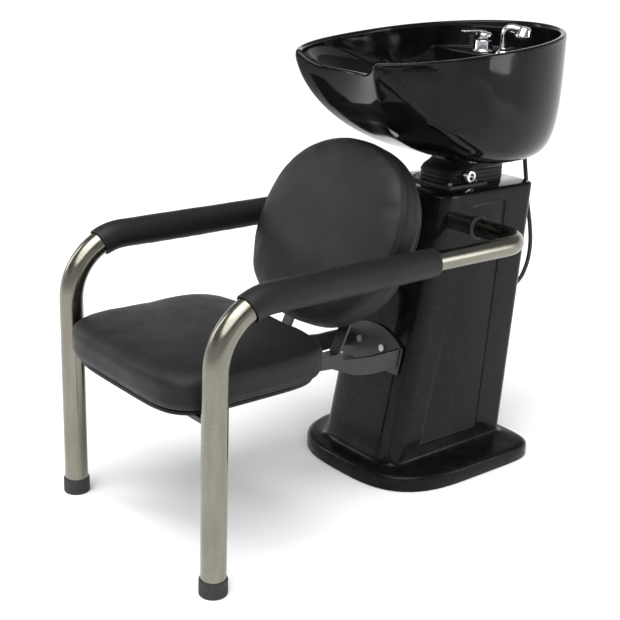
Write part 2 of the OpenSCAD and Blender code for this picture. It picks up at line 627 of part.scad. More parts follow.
// Chair frame: bent front legs run into the arms, the rear arms turn in to the column
module left_side() children();
module right_side() mirror([1, 0, 0]) children();
leg_end_y = -420;
arm_start_y = -500;
foot_seat = 6;
foot_h = 34;
foot_wall = 3.2;
module leg_path(r, over) {
    translate([leg_x, leg_y, foot_seat - over]) cylinder(r = r, h = arm_z - leg_bend_r - foot_seat + over);
    leg_bend(r);
    translate([leg_x, bend_y, arm_z]) along_y(r, leg_end_y - bend_y + over);
}
module front_leg() color(steel_c) difference() {
    leg_path(leg_r, 0);
    leg_path(leg_r - tube_wall, 1);
}
arm_in_x = 10;
module arm_path(r, over) {
    translate([leg_x, arm_start_y - over, arm_z]) along_y(r, arm_rear_y - arm_bend_r - arm_start_y + over);
    translate([arm_cx, arm_rear_y - arm_bend_r, arm_z]) rotate([180, 0, 90])
        rotate_extrude(angle = 90, $fn = 96) translate([arm_bend_r, 0]) circle(r = r);
    translate([arm_in_x - over, arm_rear_y, arm_z]) along_x(r, arm_cx - arm_in_x + over);
}
module rear_arm() color(steel_c) difference() {
    arm_path(arm_r, 0);
    arm_path(arm_r - tube_wall, 1);
}
module arm_bush() color("#3a3b3d") translate([leg_x, 0, arm_z]) difference() {
    union() {
        translate([0, arm_start_y, 0]) along_y(leg_r - tube_wall - run_gap, leg_end_y - arm_start_y);
        translate([0, leg_end_y, 0]) along_y(leg_r, 3);
    }
    translate([0, arm_start_y - 1, 0]) along_y(arm_r + run_gap, 100);
}
pad_in_r = leg_r + seat_gap;
pad_end_l = 5;
module leg_bend(r) translate([leg_x, bend_y, arm_z - leg_bend_r]) rotate([90, 0, -90])
    rotate_extrude(angle = 90, $fn = 96) translate([leg_bend_r, 0]) circle(r = r);
module arm_pad() color(leather_c) difference() {
    union() {
        leg_bend(pad_r);
        translate([leg_x, bend_y, arm_z]) along_y(pad_r, pad_rear_y - pad_end_l - bend_y);
        translate([leg_x, pad_rear_y - pad_end_l, arm_z]) rotate([-90, 0, 0])
            cylinder(r1 = pad_r, r2 = pad_r - 4, h = pad_end_l);
    }
    leg_bend(pad_in_r);
    translate([leg_x, bend_y, arm_z]) along_y(pad_in_r, leg_end_y + 3 + seat_gap - bend_y);
    translate([leg_x, leg_end_y, arm_z]) along_y(arm_r + seat_gap, 300);
    translate([leg_x, bend_y, arm_z - leg_bend_r]) rotate([pad_bend - 90, 0, 0])
        translate([-100, -300, -300]) cube([200, 300, 300]);
}
collar_x = col_hw(arm_z) - recess_d;
module arm_collar() color(rubber_c) translate([0, arm_rear_y, arm_z]) difference() {
    union() {
        translate([collar_x - shell_wall - 3, 0, 0]) along_x(arm_r + 2 - hole_gap, shell_wall + 4);
        translate([collar_x + seat_gap, 0, 0]) rotate([0, 90, 0])
            cylinder(r1 = arm_r + 8, r2 = arm_r + 4, h = 6);
    }
    translate([collar_x - 20, 0, 0]) along_x(arm_r + seat_gap, 40);
}
module foot_cap() color(rubber_c) translate([leg_x, leg_y, 0]) difference() {
    union() {
        cylinder(r = leg_r + foot_wall, h = foot_h - 4);
        cylinder(r = leg_r + foot_wall - 1, h = foot_h);
    }
    translate([0, 0, foot_seat]) cylinder(r = leg_r + run_gap, h = foot_h);
}
module left_front_leg() left_side() front_leg();
module right_front_leg() right_side() front_leg();
module left_rear_arm() left_side() rear_arm();
module right_rear_arm() right_side() rear_arm();
module left_arm_bush() left_side() arm_bush();
module right_arm_bush() right_side() arm_bush();
module left_arm_pad() left_side() arm_pad();
module right_arm_pad() right_side() arm_pad();
module left_arm_collar() left_side() arm_collar();
module right_arm_collar() right_side() arm_collar();
module left_foot_cap() left_side() foot_cap();
module right_foot_cap() right_side() foot_cap();

// Seat: crossbar between the legs, two rails, board and cushion
board_t = 10;
board_z = seat_z - board_t;
bar_t = 10;
bar_z = board_z - bar_t;
bar_y = leg_y + 2;
bar_w = 24;
rail_x = 88;
rail_w = 30;
rail_h = 20;
rail_z = board_z - rail_h;
rail_y = bar_y + bar_w;
rail_end_y = -320;
seat_front = leg_y - 70;
seat_cy = seat_front + seat_l / 2;
seat_pow = 5;
module front_crossbar() color(dark_steel_c) difference() {
    translate([-leg_x, bar_y, bar_z]) cube([2 * leg_x, bar_w, bar_t]);
    for (s = [-1, 1]) translate([s * leg_x, leg_y, bar_z - 1]) cylinder(r = leg_r + run_gap, h = bar_t + 2);
    for (s = [-1, 1]) translate([s * rail_x, bar_y - 1, bar_z + bar_t / 2]) along_y(2.5, bar_w + 2);
}
module crossbar_bolts() color(chrome_c) for (s = [-1, 1]) translate([s * rail_x, rail_y, bar_z + bar_t / 2])
    rotate([90, 0, 0]) hex_bolt(2.5, bar_w, 4);
module seat_rails() color(dark_steel_c) for (s = [-1, 1]) difference() {
    translate([s * rail_x - rail_w / 2, rail_y, rail_z]) cube([rail_w, rail_end_y - rail_y, rail_h]);
    for (y = seat_screw_y) translate([s * rail_x, y, rail_z - 1]) cylinder(r = m6_r, h = rail_h + 2);
}
seat_screw_y = [-700, -480];
module superellipse_2d(a, b, p) polygon([for (i = [0:47]) let (t = i * 7.5)
    [a * sgn_pow(cos(t), 2 / p), b * sgn_pow(sin(t), 2 / p)]]);
module seat_board() color("#6b5640") difference() {
    translate([0, seat_cy, board_z]) linear_extrude(board_t)
        superellipse_2d(seat_hw - 26, seat_l / 2 - 22, seat_pow);
    for (s = [-1, 1], y = seat_screw_y) translate([s * rail_x, y, board_z - 1])
        cylinder(r = m6_r, h = board_t + 2);
}
module seat_screws() color(chrome_c) for (s = [-1, 1], y = seat_screw_y)
    translate([s * rail_x, y, seat_z]) rotate([180, 0, 0]) pan_screw(m6_r, rail_h + board_t, 6, 3);
function oval(a, b, p, z) = [for (i = [0:47]) let (t = i * 7.5)
    [a * sgn_pow(cos(t), 2 / p), b * sgn_pow(sin(t), 2 / p), z]];
// A cushion: sides drawn in along the seam, rounded edges and a crowned top
module cushion(a, b, p, t, crown, back_in, seam_in) loft([for (q = [
    [back_in + 14, 0], [back_in, 3], [seam_in, 10], [1, t * 0.3], [seam_in, t * 0.52], [0, t * 0.72],
    [3, t * 0.88], [11, t * 0.98], [24, t + crown * 0.28], [50, t + crown * 0.6], [90, t + crown * 0.85],
    [140, t + crown]])
    let (k = 1 - q[0] / min(a, b)) oval(a - q[0], b - q[0], mix(2, p, k), q[1])]);
module seat_cushion() color(leather_c) translate([0, seat_cy, seat_z])
    cushion(seat_hw, seat_l / 2, seat_pow, seat_t, seat_crown, 12, 5);

// Back: cushion and board on two struts that rise from the rails
back_y = -306;
back_z = 602;
back_pow = 2.25;
back_board_t = 12;
strut_t = 6;
strut_w = 30;
strut_up = 80;
module on_back() translate([0, back_y, back_z]) rotate([-back_lean, 0, 0]) children();
module back_cushion() color(leather_c) on_back() translate([0, back_t, 0]) rotate([90, 0, 0])
    cushion(back_hw, back_hh, back_pow, back_t, back_crown, 10, 4);
back_screws = [[rail_x, 40], [rail_x, -60]];
module back_board() color("#26262a") difference() {
    on_back() translate([0, back_t + back_board_t, 0]) rotate([90, 0, 0]) linear_extrude(back_board_t)
        superellipse_2d(back_hw - 24, back_hh - 24, back_pow);
    on_back() for (s = [-1, 1], q = back_screws) translate([s * q[0], back_t - 1, q[1]])
        along_y(m6_r, back_board_t + 2);
}
module back_struts() color(dark_steel_c) for (s = [-1, 1]) difference() {
    on_back() translate([s * rail_x - strut_w / 2, back_t + back_board_t, -280])
        cube([strut_w, strut_t, 280 + strut_up]);
    translate([s * rail_x - strut_w, -500, 200]) cube([2 * strut_w, 300, board_z - 200]);
    on_back() for (q = back_screws) translate([s * q[0], back_t, q[1]])
        along_y(m6_r, back_board_t + strut_t + 1);
}
module back_bolts() color(chrome_c) on_back() for (s = [-1, 1], q = back_screws)
    translate([s * q[0], back_t + seat_gap, q[1]]) rotate([-90, 0, 0])
        hex_bolt(m6_r, back_board_t + strut_t - seat_gap, 4);

// Bracket plate on the column's front and the yokes that carry the rails
module bracket_plate() color(dark_steel_c) on_front(bolt_z) difference() {
    translate([0, -seat_gap, 0]) rotate([90, 0, 0]) linear_extrude(plate_t)
        intersection() {
            translate([-plate_w / 2, -plate_h / 2]) square([plate_w, plate_h]);
            translate([0, plate_h / 2 - plate_arc_r]) circle(r = plate_arc_r, $fn = 96);
        }
    for (x = [-bolt_x, bolt_x]) translate([x, -20, 0]) along_y(m10_r, 40);
}
module bracket_bolts() color(chrome_c) on_front(bolt_z) for (x = [-bolt_x, bolt_x]) translate([x, 0, 0]) {
    translate([0, shell_wall + 12, 0]) rotate([90, 0, 0])
        hex_bolt(m10_r, shell_wall + 12 + plate_t + seat_gap, 6);
    translate([0, shell_wall + 1, 0]) rotate([-90, 0, 0]) cylinder(r = 9, h = 8, $fn = 6);
}
yoke_t = 8;
module rail_yokes() color(dark_steel_c) for (s = [-1, 1]) difference() {
    translate([s * rail_x - yoke_t / 2, 0, 0]) rotate([90, 0, 90]) linear_extrude(yoke_t) polygon([
        [-420, rail_z], [-420, rail_z - 10], [-340, rail_z - 16], [-270, bolt_z - 20], [-220, bolt_z - 28],
        [-100, bolt_z - 28], [-100, bolt_z + 14], [-225, bolt_z + 14], [-280, bolt_z + 20],
        [rail_end_y, rail_z]]);
    on_front(bolt_z) translate([-plate_w, -plate_t - seat_gap, -200]) cube([2 * plate_w, 200, 400]);
}

pedestal_shell();
rear_access_panel();
access_panel_screws();
base_plate();
support_post();
arm_socket_tube();
deck_bracket();
deck_screws();
basin_saddle();
saddle_screws();
tilt_pin();
tilt_lock_knob();
basin_bowl();
drain_flange();
drain_gasket();
drain_nut();
drain_strainer();
tailpiece();
waste_hose();
waste_outlet();
mixer_body();
mixer_cap();
mixer_lever();
mixer_nut();
spray_head();
spray_face();
spray_holder();
spray_hose();
basin_grommet();
column_grommet();
hot_hose();
cold_hose();
hot_inlet();
cold_inlet();
left_front_leg();
right_front_leg();
left_rear_arm();
right_rear_arm();
left_arm_bush();
right_arm_bush();
left_arm_pad();
right_arm_pad();
left_arm_collar();
right_arm_collar();
left_foot_cap();
right_foot_cap();
front_crossbar();
crossbar_bolts();
seat_rails();
rail_yokes();
seat_board();
seat_cushion();
seat_screws();
back_board();
back_cushion();
back_struts();
back_bolts();
bracket_plate();
bracket_bolts();
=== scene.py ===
"""Looks of a salon backwash unit: a glazed basin that tilts on a gloss pedestal, with an arm chair in front.

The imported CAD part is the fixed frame. +X is the sitter's left, -Y the front of the chair and +Z up.
Lengths in the classes are in mm, and MM turns them into the frame's metres.
"""

import json
import logging
import math
from dataclasses import dataclass
from enum import Enum

import bpy
import numpy as np
from mathutils import Matrix, Vector


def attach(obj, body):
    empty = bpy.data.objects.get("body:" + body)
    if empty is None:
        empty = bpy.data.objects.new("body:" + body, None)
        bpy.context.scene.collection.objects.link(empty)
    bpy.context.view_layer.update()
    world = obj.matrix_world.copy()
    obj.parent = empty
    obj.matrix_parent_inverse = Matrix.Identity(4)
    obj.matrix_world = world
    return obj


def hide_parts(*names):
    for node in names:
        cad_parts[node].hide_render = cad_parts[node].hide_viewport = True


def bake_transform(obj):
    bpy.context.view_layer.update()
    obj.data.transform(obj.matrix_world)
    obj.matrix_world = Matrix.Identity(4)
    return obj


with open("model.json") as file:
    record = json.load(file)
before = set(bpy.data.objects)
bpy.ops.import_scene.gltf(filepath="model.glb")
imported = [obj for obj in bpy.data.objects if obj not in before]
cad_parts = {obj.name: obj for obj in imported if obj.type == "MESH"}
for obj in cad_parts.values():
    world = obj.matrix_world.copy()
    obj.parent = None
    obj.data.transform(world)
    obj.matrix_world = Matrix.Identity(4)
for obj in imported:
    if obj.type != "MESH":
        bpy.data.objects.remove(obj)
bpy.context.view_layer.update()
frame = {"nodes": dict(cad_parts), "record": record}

LOG = logging.getLogger("backwash")
MM = 0.001


# ---------------------------------------------------------------- helpers


def linear(hex_colour: str) -> tuple[float, float, float, float]:
    """Turns an sRGB hex colour into the linear colour that a shader takes.

    Args:
        hex_colour: six hex digits after a '#'.

    Returns:
        Linear red, green, blue and alpha.
    """
    levels = [int(hex_colour[i : i + 2], 16) / 255 for i in (1, 3, 5)]
    return (*[v / 12.92 if v <= 0.04045 else ((v + 0.055) / 1.055) ** 2.4 for v in levels], 1.0)


def add_node(tree: bpy.types.NodeTree, kind: str, inputs: dict | None = None, **settings) -> bpy.types.Node:
    """Adds one node with its settings, and links or sets its inputs.

    Args:
        tree: the node tree of a material or of the world.
        kind: the node's type name.
        inputs: a value or an output socket for each input, by name or number.
        **settings: the node's own properties.

    Returns:
        The new node.
    """
    node = tree.nodes.new(kind)
    for name, value in settings.items():
        setattr(node, name, value)
    for name, value in (inputs or {}).items():
        if isinstance(value, bpy.types.NodeSocket):
            tree.links.new(value, node.inputs[name])
        else:
            node.inputs[name].default_value = value
    return node


def deselect() -> None:
    """Leaves edit mode and clears the selection."""
    if bpy.context.object and bpy.context.object.mode != "OBJECT":
        bpy.ops.object.mode_set(mode="OBJECT")
    bpy.ops.object.select_all(action="DESELECT")


def activate(piece: bpy.types.Object) -> None:
    """Selects one piece alone and makes it the active one.

    Args:
        piece: the piece.
    """
    deselect()
    piece.select_set(True)
    bpy.context.view_layer.objects.active = piece


def from_rings(name: str, rings: np.ndarray, loop: bool = False) -> bpy.types.Object:
    """Joins rings of points by faces into one closed mesh.

    Args:
        name: the piece's name.
        rings: points by ring, place on the ring and axis, in metres, each ring in the same order.
        loop: the last ring joins the first. Otherwise both ends get a face.

    Returns:
        The new piece, with its normals outwards.
    """
    rows, count = len(rings), len(rings[0])
    faces = []
    for row in range(rows if loop else rows - 1):
        here, above = row * count, (row + 1) % rows * count
        for i, after in zip(range(count), [*range(1, count), 0]):
            faces.append((here + i, here + after, above + after, above + i))
    if not loop:
        faces += [tuple(range(count)), tuple(range(rows * count - 1, (rows - 1) * count - 1, -1))]
    mesh = bpy.data.meshes.new(name)
    mesh.from_pydata(rings.reshape(-1, 3).tolist(), [], faces)
    piece = bpy.data.objects.new(name, mesh)
    bpy.context.collection.objects.link(piece)
    face_outwards(piece)
    return piece


def face_outwards(piece: bpy.types.Object) -> None:
    """Merges doubles and points every face outwards.

    Args:
        piece: the mesh object.
    """
    activate(piece)
    bpy.ops.object.mode_set(mode="EDIT")
    bpy.ops.mesh.select_all(action="SELECT")
    bpy.ops.mesh.remove_doubles(threshold=1e-6)
    bpy.ops.mesh.normals_make_consistent(inside=False)
    bpy.ops.object.mode_set(mode="OBJECT")


def apply_modifier(piece: bpy.types.Object, kind: str, **settings) -> None:
    """Adds one modifier with its settings and applies it.

    Args:
        piece: the mesh object.
        kind: the modifier's type.
        **settings: the modifier's properties.
    """
    activate(piece)
    modifier = piece.modifiers.new(kind.lower(), kind)
    for key, value in settings.items():
        setattr(modifier, key, value)
    bpy.ops.object.modifier_apply(modifier=modifier.name)


def smooth(piece: bpy.types.Object, angle: float = 35.0) -> bpy.types.Object:
    """Shades a piece smooth up to an angle between faces, in degrees.

    Args:
        piece: the mesh object.
        angle: the widest angle that is shaded smooth.

    Returns:
        The same piece.
    """
    activate(piece)
    bpy.ops.object.shade_smooth_by_angle(angle=math.radians(angle))
    return piece


def dress(
    piece: bpy.types.Object, finish: "Finish", body: str, nodes: tuple[str, ...] = ()
) -> bpy.types.Object:
    """Gives a finished piece its material, its body and the CAD nodes that it stands for.

    Args:
        piece: the mesh object, with its place in its mesh.
        finish: the finish that it gets.
        body: the CAD body that it rides on, or nothing for a piece between two bodies.
        nodes: the CAD nodes that it replaces.

    Returns:
        The same piece.
    """
    piece.data.materials.clear()
    piece.data.materials.append(finish.material())
    if nodes:
        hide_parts(*nodes)
    if body:
        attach(piece, body)
    LOG.info("piece %s on %s: %d faces", piece.name, body or "two bodies", len(piece.data.polygons))
    return piece


def shift(x: float, y: float, z: float) -> Matrix:
    """The matrix of a plain shift.

    Args:
        x: how far along X, in mm.
        y: how far along Y, in mm.
        z: how far along Z, in mm.

    Returns:
        The matrix in metres.
    """
    return Matrix.Translation(Vector((x, y, z)) * MM)


def squared_oval(half_w: float, half_l: float, across: float, along: float, count: int) -> np.ndarray:
    """Points of a squared oval.

    Args:
        half_w: half its width.
        half_l: half its length.
        across: the power on the width, 1 for an ellipse and less for a squarer one.
        along: the power on the length.
        count: how many points.

    Returns:
        Width and length of each point.
    """
    turn = np.linspace(0, math.tau, count, endpoint=False)
    c, s = np.cos(turn), np.sin(turn)
    return np.column_stack(
        [half_w * np.sign(c) * np.abs(c) ** across, half_l * np.sign(s) * np.abs(s) ** along]
    )


def frame_at(place: Vector, axis: Vector) -> Matrix:
    """The matrix that puts a piece modelled along +Z at a place, along an axis.

    Args:
        place: where the piece goes, in metres.
        axis: the direction of its +Z.

    Returns:
        The matrix.
    """
    return Matrix.Translation(place) @ Vector(axis).normalized().to_track_quat("Z", "Y").to_matrix().to_4x4()


def settle(piece: bpy.types.Object, matrix: Matrix) -> None:
    """Puts a piece's place into its mesh, and leaves its object at the origin.

    Args:
        piece: the mesh object.
        matrix: where it goes, in metres.
    """
    piece.data.transform(matrix @ piece.matrix_world)
    piece.matrix_world = Matrix.Identity(4)
    bpy.context.view_layer.update()


def turned(
    name: str, profile: list[tuple[float, float]], matrix: Matrix, steps: int = 48, bevel: float = 0.4
) -> bpy.types.Object:
    """Turns a profile round +Z with the spin operator and breaks its sharp edges, as on a lathe.

    Args:
        name: the piece's name.
        profile: radius and height of each corner in mm. The first and last have radius 0 on a closed form.
        matrix: where the piece goes, in metres.
        steps: faces round the axis.
        bevel: width of the broken edges in mm.

    Returns:
        The new piece.
    """
    mesh = bpy.data.meshes.new(name)
    closed = profile[0][0] > 0
    count = len(profile)
    edges = [(i, i + 1) for i in range(count - 1)] + ([(count - 1, 0)] if closed else [])
    mesh.from_pydata([(r * MM, 0, z * MM) for r, z in profile], edges, [])
    piece = bpy.data.objects.new(name, mesh)
    bpy.context.collection.objects.link(piece)
    activate(piece)
    bpy.ops.object.mode_set(mode="EDIT")
    bpy.ops.mesh.select_all(action="SELECT")
    bpy.ops.mesh.spin(steps=steps, angle=math.tau, center=(0, 0, 0), axis=(0, 0, 1))
    face_outwards(piece)
    if bevel:
        limit = {"limit_method": "ANGLE", "angle_limit": math.radians(30)}
        apply_modifier(piece, "BEVEL", width=bevel * MM, segments=2, **limit)
    settle(piece, matrix)
    return smooth(piece)


def headings(route: np.ndarray) -> np.ndarray:
    """Directions along a route.

    Args:
        route: its points.

    Returns:
        One unit direction for each point.
    """
    ahead = np.gradient(route, axis=0)
    return ahead / np.linalg.norm(ahead, axis=1)[:, None]


def run_along(route: np.ndarray) -> np.ndarray:
    """How far along a route each of its points lies.

    Args:
        route: its points.

    Returns:
        The distances, from 0 to the route's length.
    """
    return np.concatenate([[0], np.cumsum(np.linalg.norm(np.diff(route, axis=0), axis=1))])


def swept(name: str, route: np.ndarray, radii: np.ndarray, sides: int = 48) -> bpy.types.Object:
    """Sweeps a round section along a route, with a UV map along (u) and round (v) it in metres.

    Args:
        name: the piece's name.
        route: points of the centre line, in metres.
        radii: the section's radius at each point, in metres.
        sides: faces round the section.

    Returns:
        The new tube, closed at both ends.
    """
    heading = headings(route)
    side = np.cross(heading[0], (0.0, 0.0, 1.0) if abs(heading[0][2]) < 0.9 else (1.0, 0.0, 0.0))
    rings = []
    turns = np.linspace(0, math.tau, sides, endpoint=False)
    for place, forward, radius in zip(route, heading, radii):
        side = side - forward * side.dot(forward)
        side /= np.linalg.norm(side)
        up = np.cross(forward, side)
        rings.append(place + radius * (np.outer(np.cos(turns), side) + np.outer(np.sin(turns), up)))
    piece = from_rings(name, np.array(rings))
    run = run_along(route)
    uv = piece.data.uv_layers.new(name="along")
    for face in piece.data.polygons:
        columns = [vertex % sides for vertex in face.vertices]
        wraps = max(columns) - min(columns) > sides / 2 and len(face.vertices) == 4
        for corner, vertex, column in zip(face.loop_indices, face.vertices, columns):
            turn = column + (sides if wraps and column < sides / 2 else 0)
            row = min(vertex // sides, len(run) - 1)
            uv.data[corner].uv = (run[row], turn / sides * math.tau * float(np.mean(radii)))
    return piece


def curve_points(points: list[tuple[float, float, float]], steps: int) -> np.ndarray:
    """A smooth curve through points, sampled evenly by point.

    Args:
        points: the points that it passes.
        steps: how many samples each stretch gets.

    Returns:
        The samples, the last point among them.
    """
    p = np.array([2 * np.array(points[0]) - points[1], *points, 2 * np.array(points[-1]) - points[-2]], float)
    out = []
    for i in range(1, len(p) - 2):
        for t in np.linspace(0, 1, steps, endpoint=False):
            a, b, c, d = p[i - 1 : i + 3]
            out.append(
                0.5
                * (2 * b + (c - a) * t + (2 * a - 5 * b + 4 * c - d) * t**2 + (3 * b - a - 3 * c + d) * t**3)
            )
    return np.array([*out, p[-2]])


def blocks(name: str, boxes: list[tuple[Vector, Vector]]) -> bpy.types.Object:
    """One mesh of plain boxes, each given by its lowest and highest corner, to cut openings with.

    Args:
        name: the cutter's name.
        boxes: lowest and highest corner of each box, in metres.

    Returns:
        The cutter.
    """
    deselect()
    made = []
    for low, high in boxes:
        bpy.ops.mesh.primitive_cube_add(size=1, location=(low + high) / 2, scale=high - low)
        made.append(bpy.context.object)
    for piece in made:
        piece.select_set(True)
    bpy.context.view_layer.objects.active = made[0]
    bpy.ops.object.join()
    bpy.context.object.name = name
    return bpy.context.object


def cut(piece: bpy.types.Object, cutter: bpy.types.Object) -> None:
    """Takes a cutter's shape out of a piece and removes the cutter.

    Args:
        piece: the mesh object.
        cutter: the shape to take out.
    """
    apply_modifier(piece, "BOOLEAN", object=cutter, operation="DIFFERENCE", solver="EXACT")
    bpy.data.objects.remove(cutter)


# ---------------------------------------------------------------- finishes


class Space(Enum):
    """Which coordinates a pattern follows."""

    OBJECT = "Object"
    ALONG = "UV"


@dataclass(frozen=True)
class Coat:
    """One material while it is laid: its node tree, its shader and the coordinates, in metres."""

    tree: bpy.types.NodeTree
    shader: bpy.types.Node
    place: bpy.types.NodeSocket

    def noise(
        self, grain_mm: float, detail: float = 3.0, stretch: tuple[float, float, float] = (1.0, 1.0, 1.0)
    ) -> bpy.types.NodeSocket:
        """Noise whose lumps are about a real size.

        Args:
            grain_mm: size of one lump in mm.
            detail: finer octaves.
            stretch: how much longer a lump is along each axis.

        Returns:
            The noise factor, 0 to 1.
        """
        scale = [1 / (grain_mm * MM * s) for s in stretch]
        spot = add_node(self.tree, "ShaderNodeMapping", {"Vector": self.place, "Scale": scale}).outputs[0]
        inputs = {"Vector": spot, "Scale": 1.0, "Detail": detail}
        return add_node(self.tree, "ShaderNodeTexNoise", inputs).outputs[0]

    def maths(self, operation: str, *values: bpy.types.NodeSocket | float) -> bpy.types.NodeSocket:
        """Works out one sum of patterns and numbers.

        Args:
            operation: the maths node's operation.
            *values: what it takes, in order.

        Returns:
            The result.
        """
        inputs = dict(enumerate(values))
        return add_node(self.tree, "ShaderNodeMath", inputs, operation=operation).outputs[0]

    def spread(self, factor: bpy.types.NodeSocket, low: float, high: float) -> bpy.types.NodeSocket:
        """Maps a noise factor's middle part to a range of values.

        Args:
            factor: the noise.
            low: the value where the noise is low.
            high: the value where it is high.

        Returns:
            The value.
        """
        inputs = {"Value": factor, "From Min": 0.3, "From Max": 0.7, "To Min": low, "To Max": high}
        return add_node(self.tree, "ShaderNodeMapRange", inputs).outputs[0]

    def shades(self, factor: bpy.types.NodeSocket, *colours: str) -> bpy.types.NodeSocket:
        """Runs a factor through evenly set colours.

        Args:
            factor: the noise.
            *colours: sRGB hex colours, from where the noise is low to where it is high.

        Returns:
            The colour.
        """
        ramp = add_node(self.tree, "ShaderNodeValToRGB", {"Fac": factor})
        stops = ramp.color_ramp.elements
        while len(stops) < len(colours):
            stops.new(0.5)
        for i, colour in enumerate(colours):
            stops[i].position = 0.3 + 0.4 * i / (len(colours) - 1)
            stops[i].color = linear(colour)
        return ramp.outputs[0]

    def lay(
        self,
        colour: bpy.types.NodeSocket,
        roughness: bpy.types.NodeSocket,
        *reliefs: tuple[bpy.types.NodeSocket, float],
    ) -> None:
        """Gives the shader its colour and roughness, and one relief over another.

        Args:
            colour: the colour.
            roughness: the roughness.
            *reliefs: the height factor of each relief and its depth in mm.
        """
        self.tree.links.new(colour, self.shader.inputs["Base Color"])
        self.tree.links.new(roughness, self.shader.inputs["Roughness"])
        normal = None
        for height, depth in reliefs:
            inputs = {"Height": height, "Strength": 1.0, "Distance": depth * MM}
            if normal is not None:
                inputs["Normal"] = normal
            normal = add_node(self.tree, "ShaderNodeBump", inputs).outputs[0]
        self.tree.links.new(normal, self.shader.inputs["Normal"])


@dataclass(frozen=True)
class Finish:
    """A real surface. Each kind adds its own pattern to the same start."""

    slot: str
    name: str
    colour: str
    roughness: float
    metallic: float = 0.0
    space: Space = Space.OBJECT

    def material(self) -> bpy.types.Material:
        """The finish's material, made once.

        Returns:
            The material named for this finish.
        """
        found = bpy.data.materials.get(self.name)
        if found:
            return found
        made = bpy.data.materials.new(self.name)
        made.use_nodes = True
        shader = made.node_tree.nodes["Principled BSDF"]
        shader.inputs["Base Color"].default_value = linear(self.colour)
        shader.inputs["Roughness"].default_value = self.roughness
        shader.inputs["Metallic"].default_value = self.metallic
        coords = add_node(made.node_tree, "ShaderNodeTexCoord")
        self.pattern(Coat(made.node_tree, shader, coords.outputs[self.space.value]))
        return made

    def pattern(self, coat: Coat) -> None:
        """Adds the finish's own pattern to its shader.

        Args:
            coat: the material that is laid.
        """
        raise NotImplementedError


@dataclass(frozen=True)
class Gelcoat(Finish):
    """Glass fibre moulding under polished black gelcoat: a deep, slightly wavy gloss, scuffed at the foot."""

    specular: float = 0.12
    wave_mm: float = 70.0
    wave_depth: float = 0.25
    scuffed_to: float = 0.09

    def pattern(self, coat: Coat) -> None:
        """Adds the moulding's wave, fine orange peel and the scuffs at the foot.

        Args:
            coat: the material that is laid.
        """
        coat.shader.inputs["Specular IOR Level"].default_value = self.specular
        height = add_node(coat.tree, "ShaderNodeSeparateXYZ", {"Vector": coat.place}).outputs["Z"]
        span = {"Value": height, "From Min": self.scuffed_to, "From Max": 0.0, "To Max": 1.0}
        foot = add_node(coat.tree, "ShaderNodeMapRange", span).outputs[0]
        scuffs = coat.noise(9.0, 6.0, (3.0, 3.0, 1.0))
        rough = coat.maths("MULTIPLY_ADD", coat.maths("MULTIPLY", foot, scuffs), 0.45, self.roughness)
        total = coat.maths("ADD", rough, coat.spread(coat.noise(45.0, 5.0), -0.02, 0.05))
        wave, peel = (coat.noise(self.wave_mm, 1.0), self.wave_depth), (coat.noise(1.5, 2.0), 0.004)
        coat.lay(coat.shades(coat.noise(30.0), self.colour, "#141416"), total, wave, peel)


@dataclass(frozen=True)
class BlackGlaze(Finish):
    """Fired vitreous china in black glaze: mirror gloss over soft waves, with a few pinholes."""

    specular: float = 0.16
    pinhole_apart_mm: float = 22.0

    def pattern(self, coat: Coat) -> None:
        """Adds the glaze's waves, its pooling and pinholes.

        Args:
            coat: the material that is laid.
        """
        coat.shader.inputs["Specular IOR Level"].default_value = self.specular
        cells = {"Vector": coat.place, "Scale": 1 / (self.pinhole_apart_mm * MM)}
        apart = add_node(coat.tree, "ShaderNodeTexVoronoi", cells).outputs["Distance"]
        pinholes = add_node(coat.tree, "ShaderNodeMapRange", {"Value": apart, "From Max": 0.02}).outputs[0]
        coat.lay(
            coat.shades(coat.noise(60.0, 2.0), self.colour, "#121214"),
            coat.spread(coat.noise(25.0, 6.0), 0.03, 0.1),
            (coat.noise(55.0, 1.0), 0.3),
            (coat.noise(4.0, 2.0), 0.008),
            (pinholes, 0.03),
        )


@dataclass(frozen=True)
class SatinTube(Finish):
    """Stainless tube brushed round its length with 120 grit: warm grey with a broken highlight.

    The real scratches are about 0.1 mm apart. They are drawn 0.9 mm apart, so that they show.
    """

    scratch_mm: float = 0.9

    def pattern(self, coat: Coat) -> None:
        """Adds the scratches round the tube and the smudges along it.

        Args:
            coat: the material that is laid.
        """
        scratches = coat.noise(self.scratch_mm, 2.0, (1.0, 40.0, 1.0))
        both = coat.maths("MULTIPLY_ADD", scratches, coat.noise(14.0, 4.0, (6.0, 1.0, 1.0)), 0.24)
        coat.lay(
            coat.shades(both, "#706d64", self.colour, "#8c8980"),
            coat.spread(both, self.roughness - 0.06, self.roughness + 0.1),
            (scratches, 0.006),
            (coat.noise(9.0, 2.0, (1.0, 2.5, 1.0)), 0.02),
        )


@dataclass(frozen=True)
class Plating(Finish):
    """Bright chrome on brass or steel: mirror clear, with faint dried water."""

    def pattern(self, coat: Coat) -> None:
        """Adds the dried water's dull rings.

        Args:
            coat: the material that is laid.
        """
        drops = coat.noise(6.0, 5.0)
        dull = coat.spread(drops, self.roughness, self.roughness + 0.09)
        coat.lay(coat.shades(drops, self.colour, "#c9ccce"), dull, (coat.noise(18.0, 1.0), 0.02))


@dataclass(frozen=True)
class PowderCoat(Finish):
    """Steel under baked black powder: a low sheen with fine orange peel, rubbed paler in spots."""

    peel_mm: float = 1.2

    def pattern(self, coat: Coat) -> None:
        """Adds the orange peel and the rubbed spots.

        Args:
            coat: the material that is laid.
        """
        rubs = coat.noise(35.0, 6.0)
        dull = coat.spread(rubs, self.roughness - 0.08, self.roughness + 0.1)
        coat.lay(coat.shades(rubs, self.colour, "#232327"), dull, (coat.noise(self.peel_mm, 2.0), 0.05))


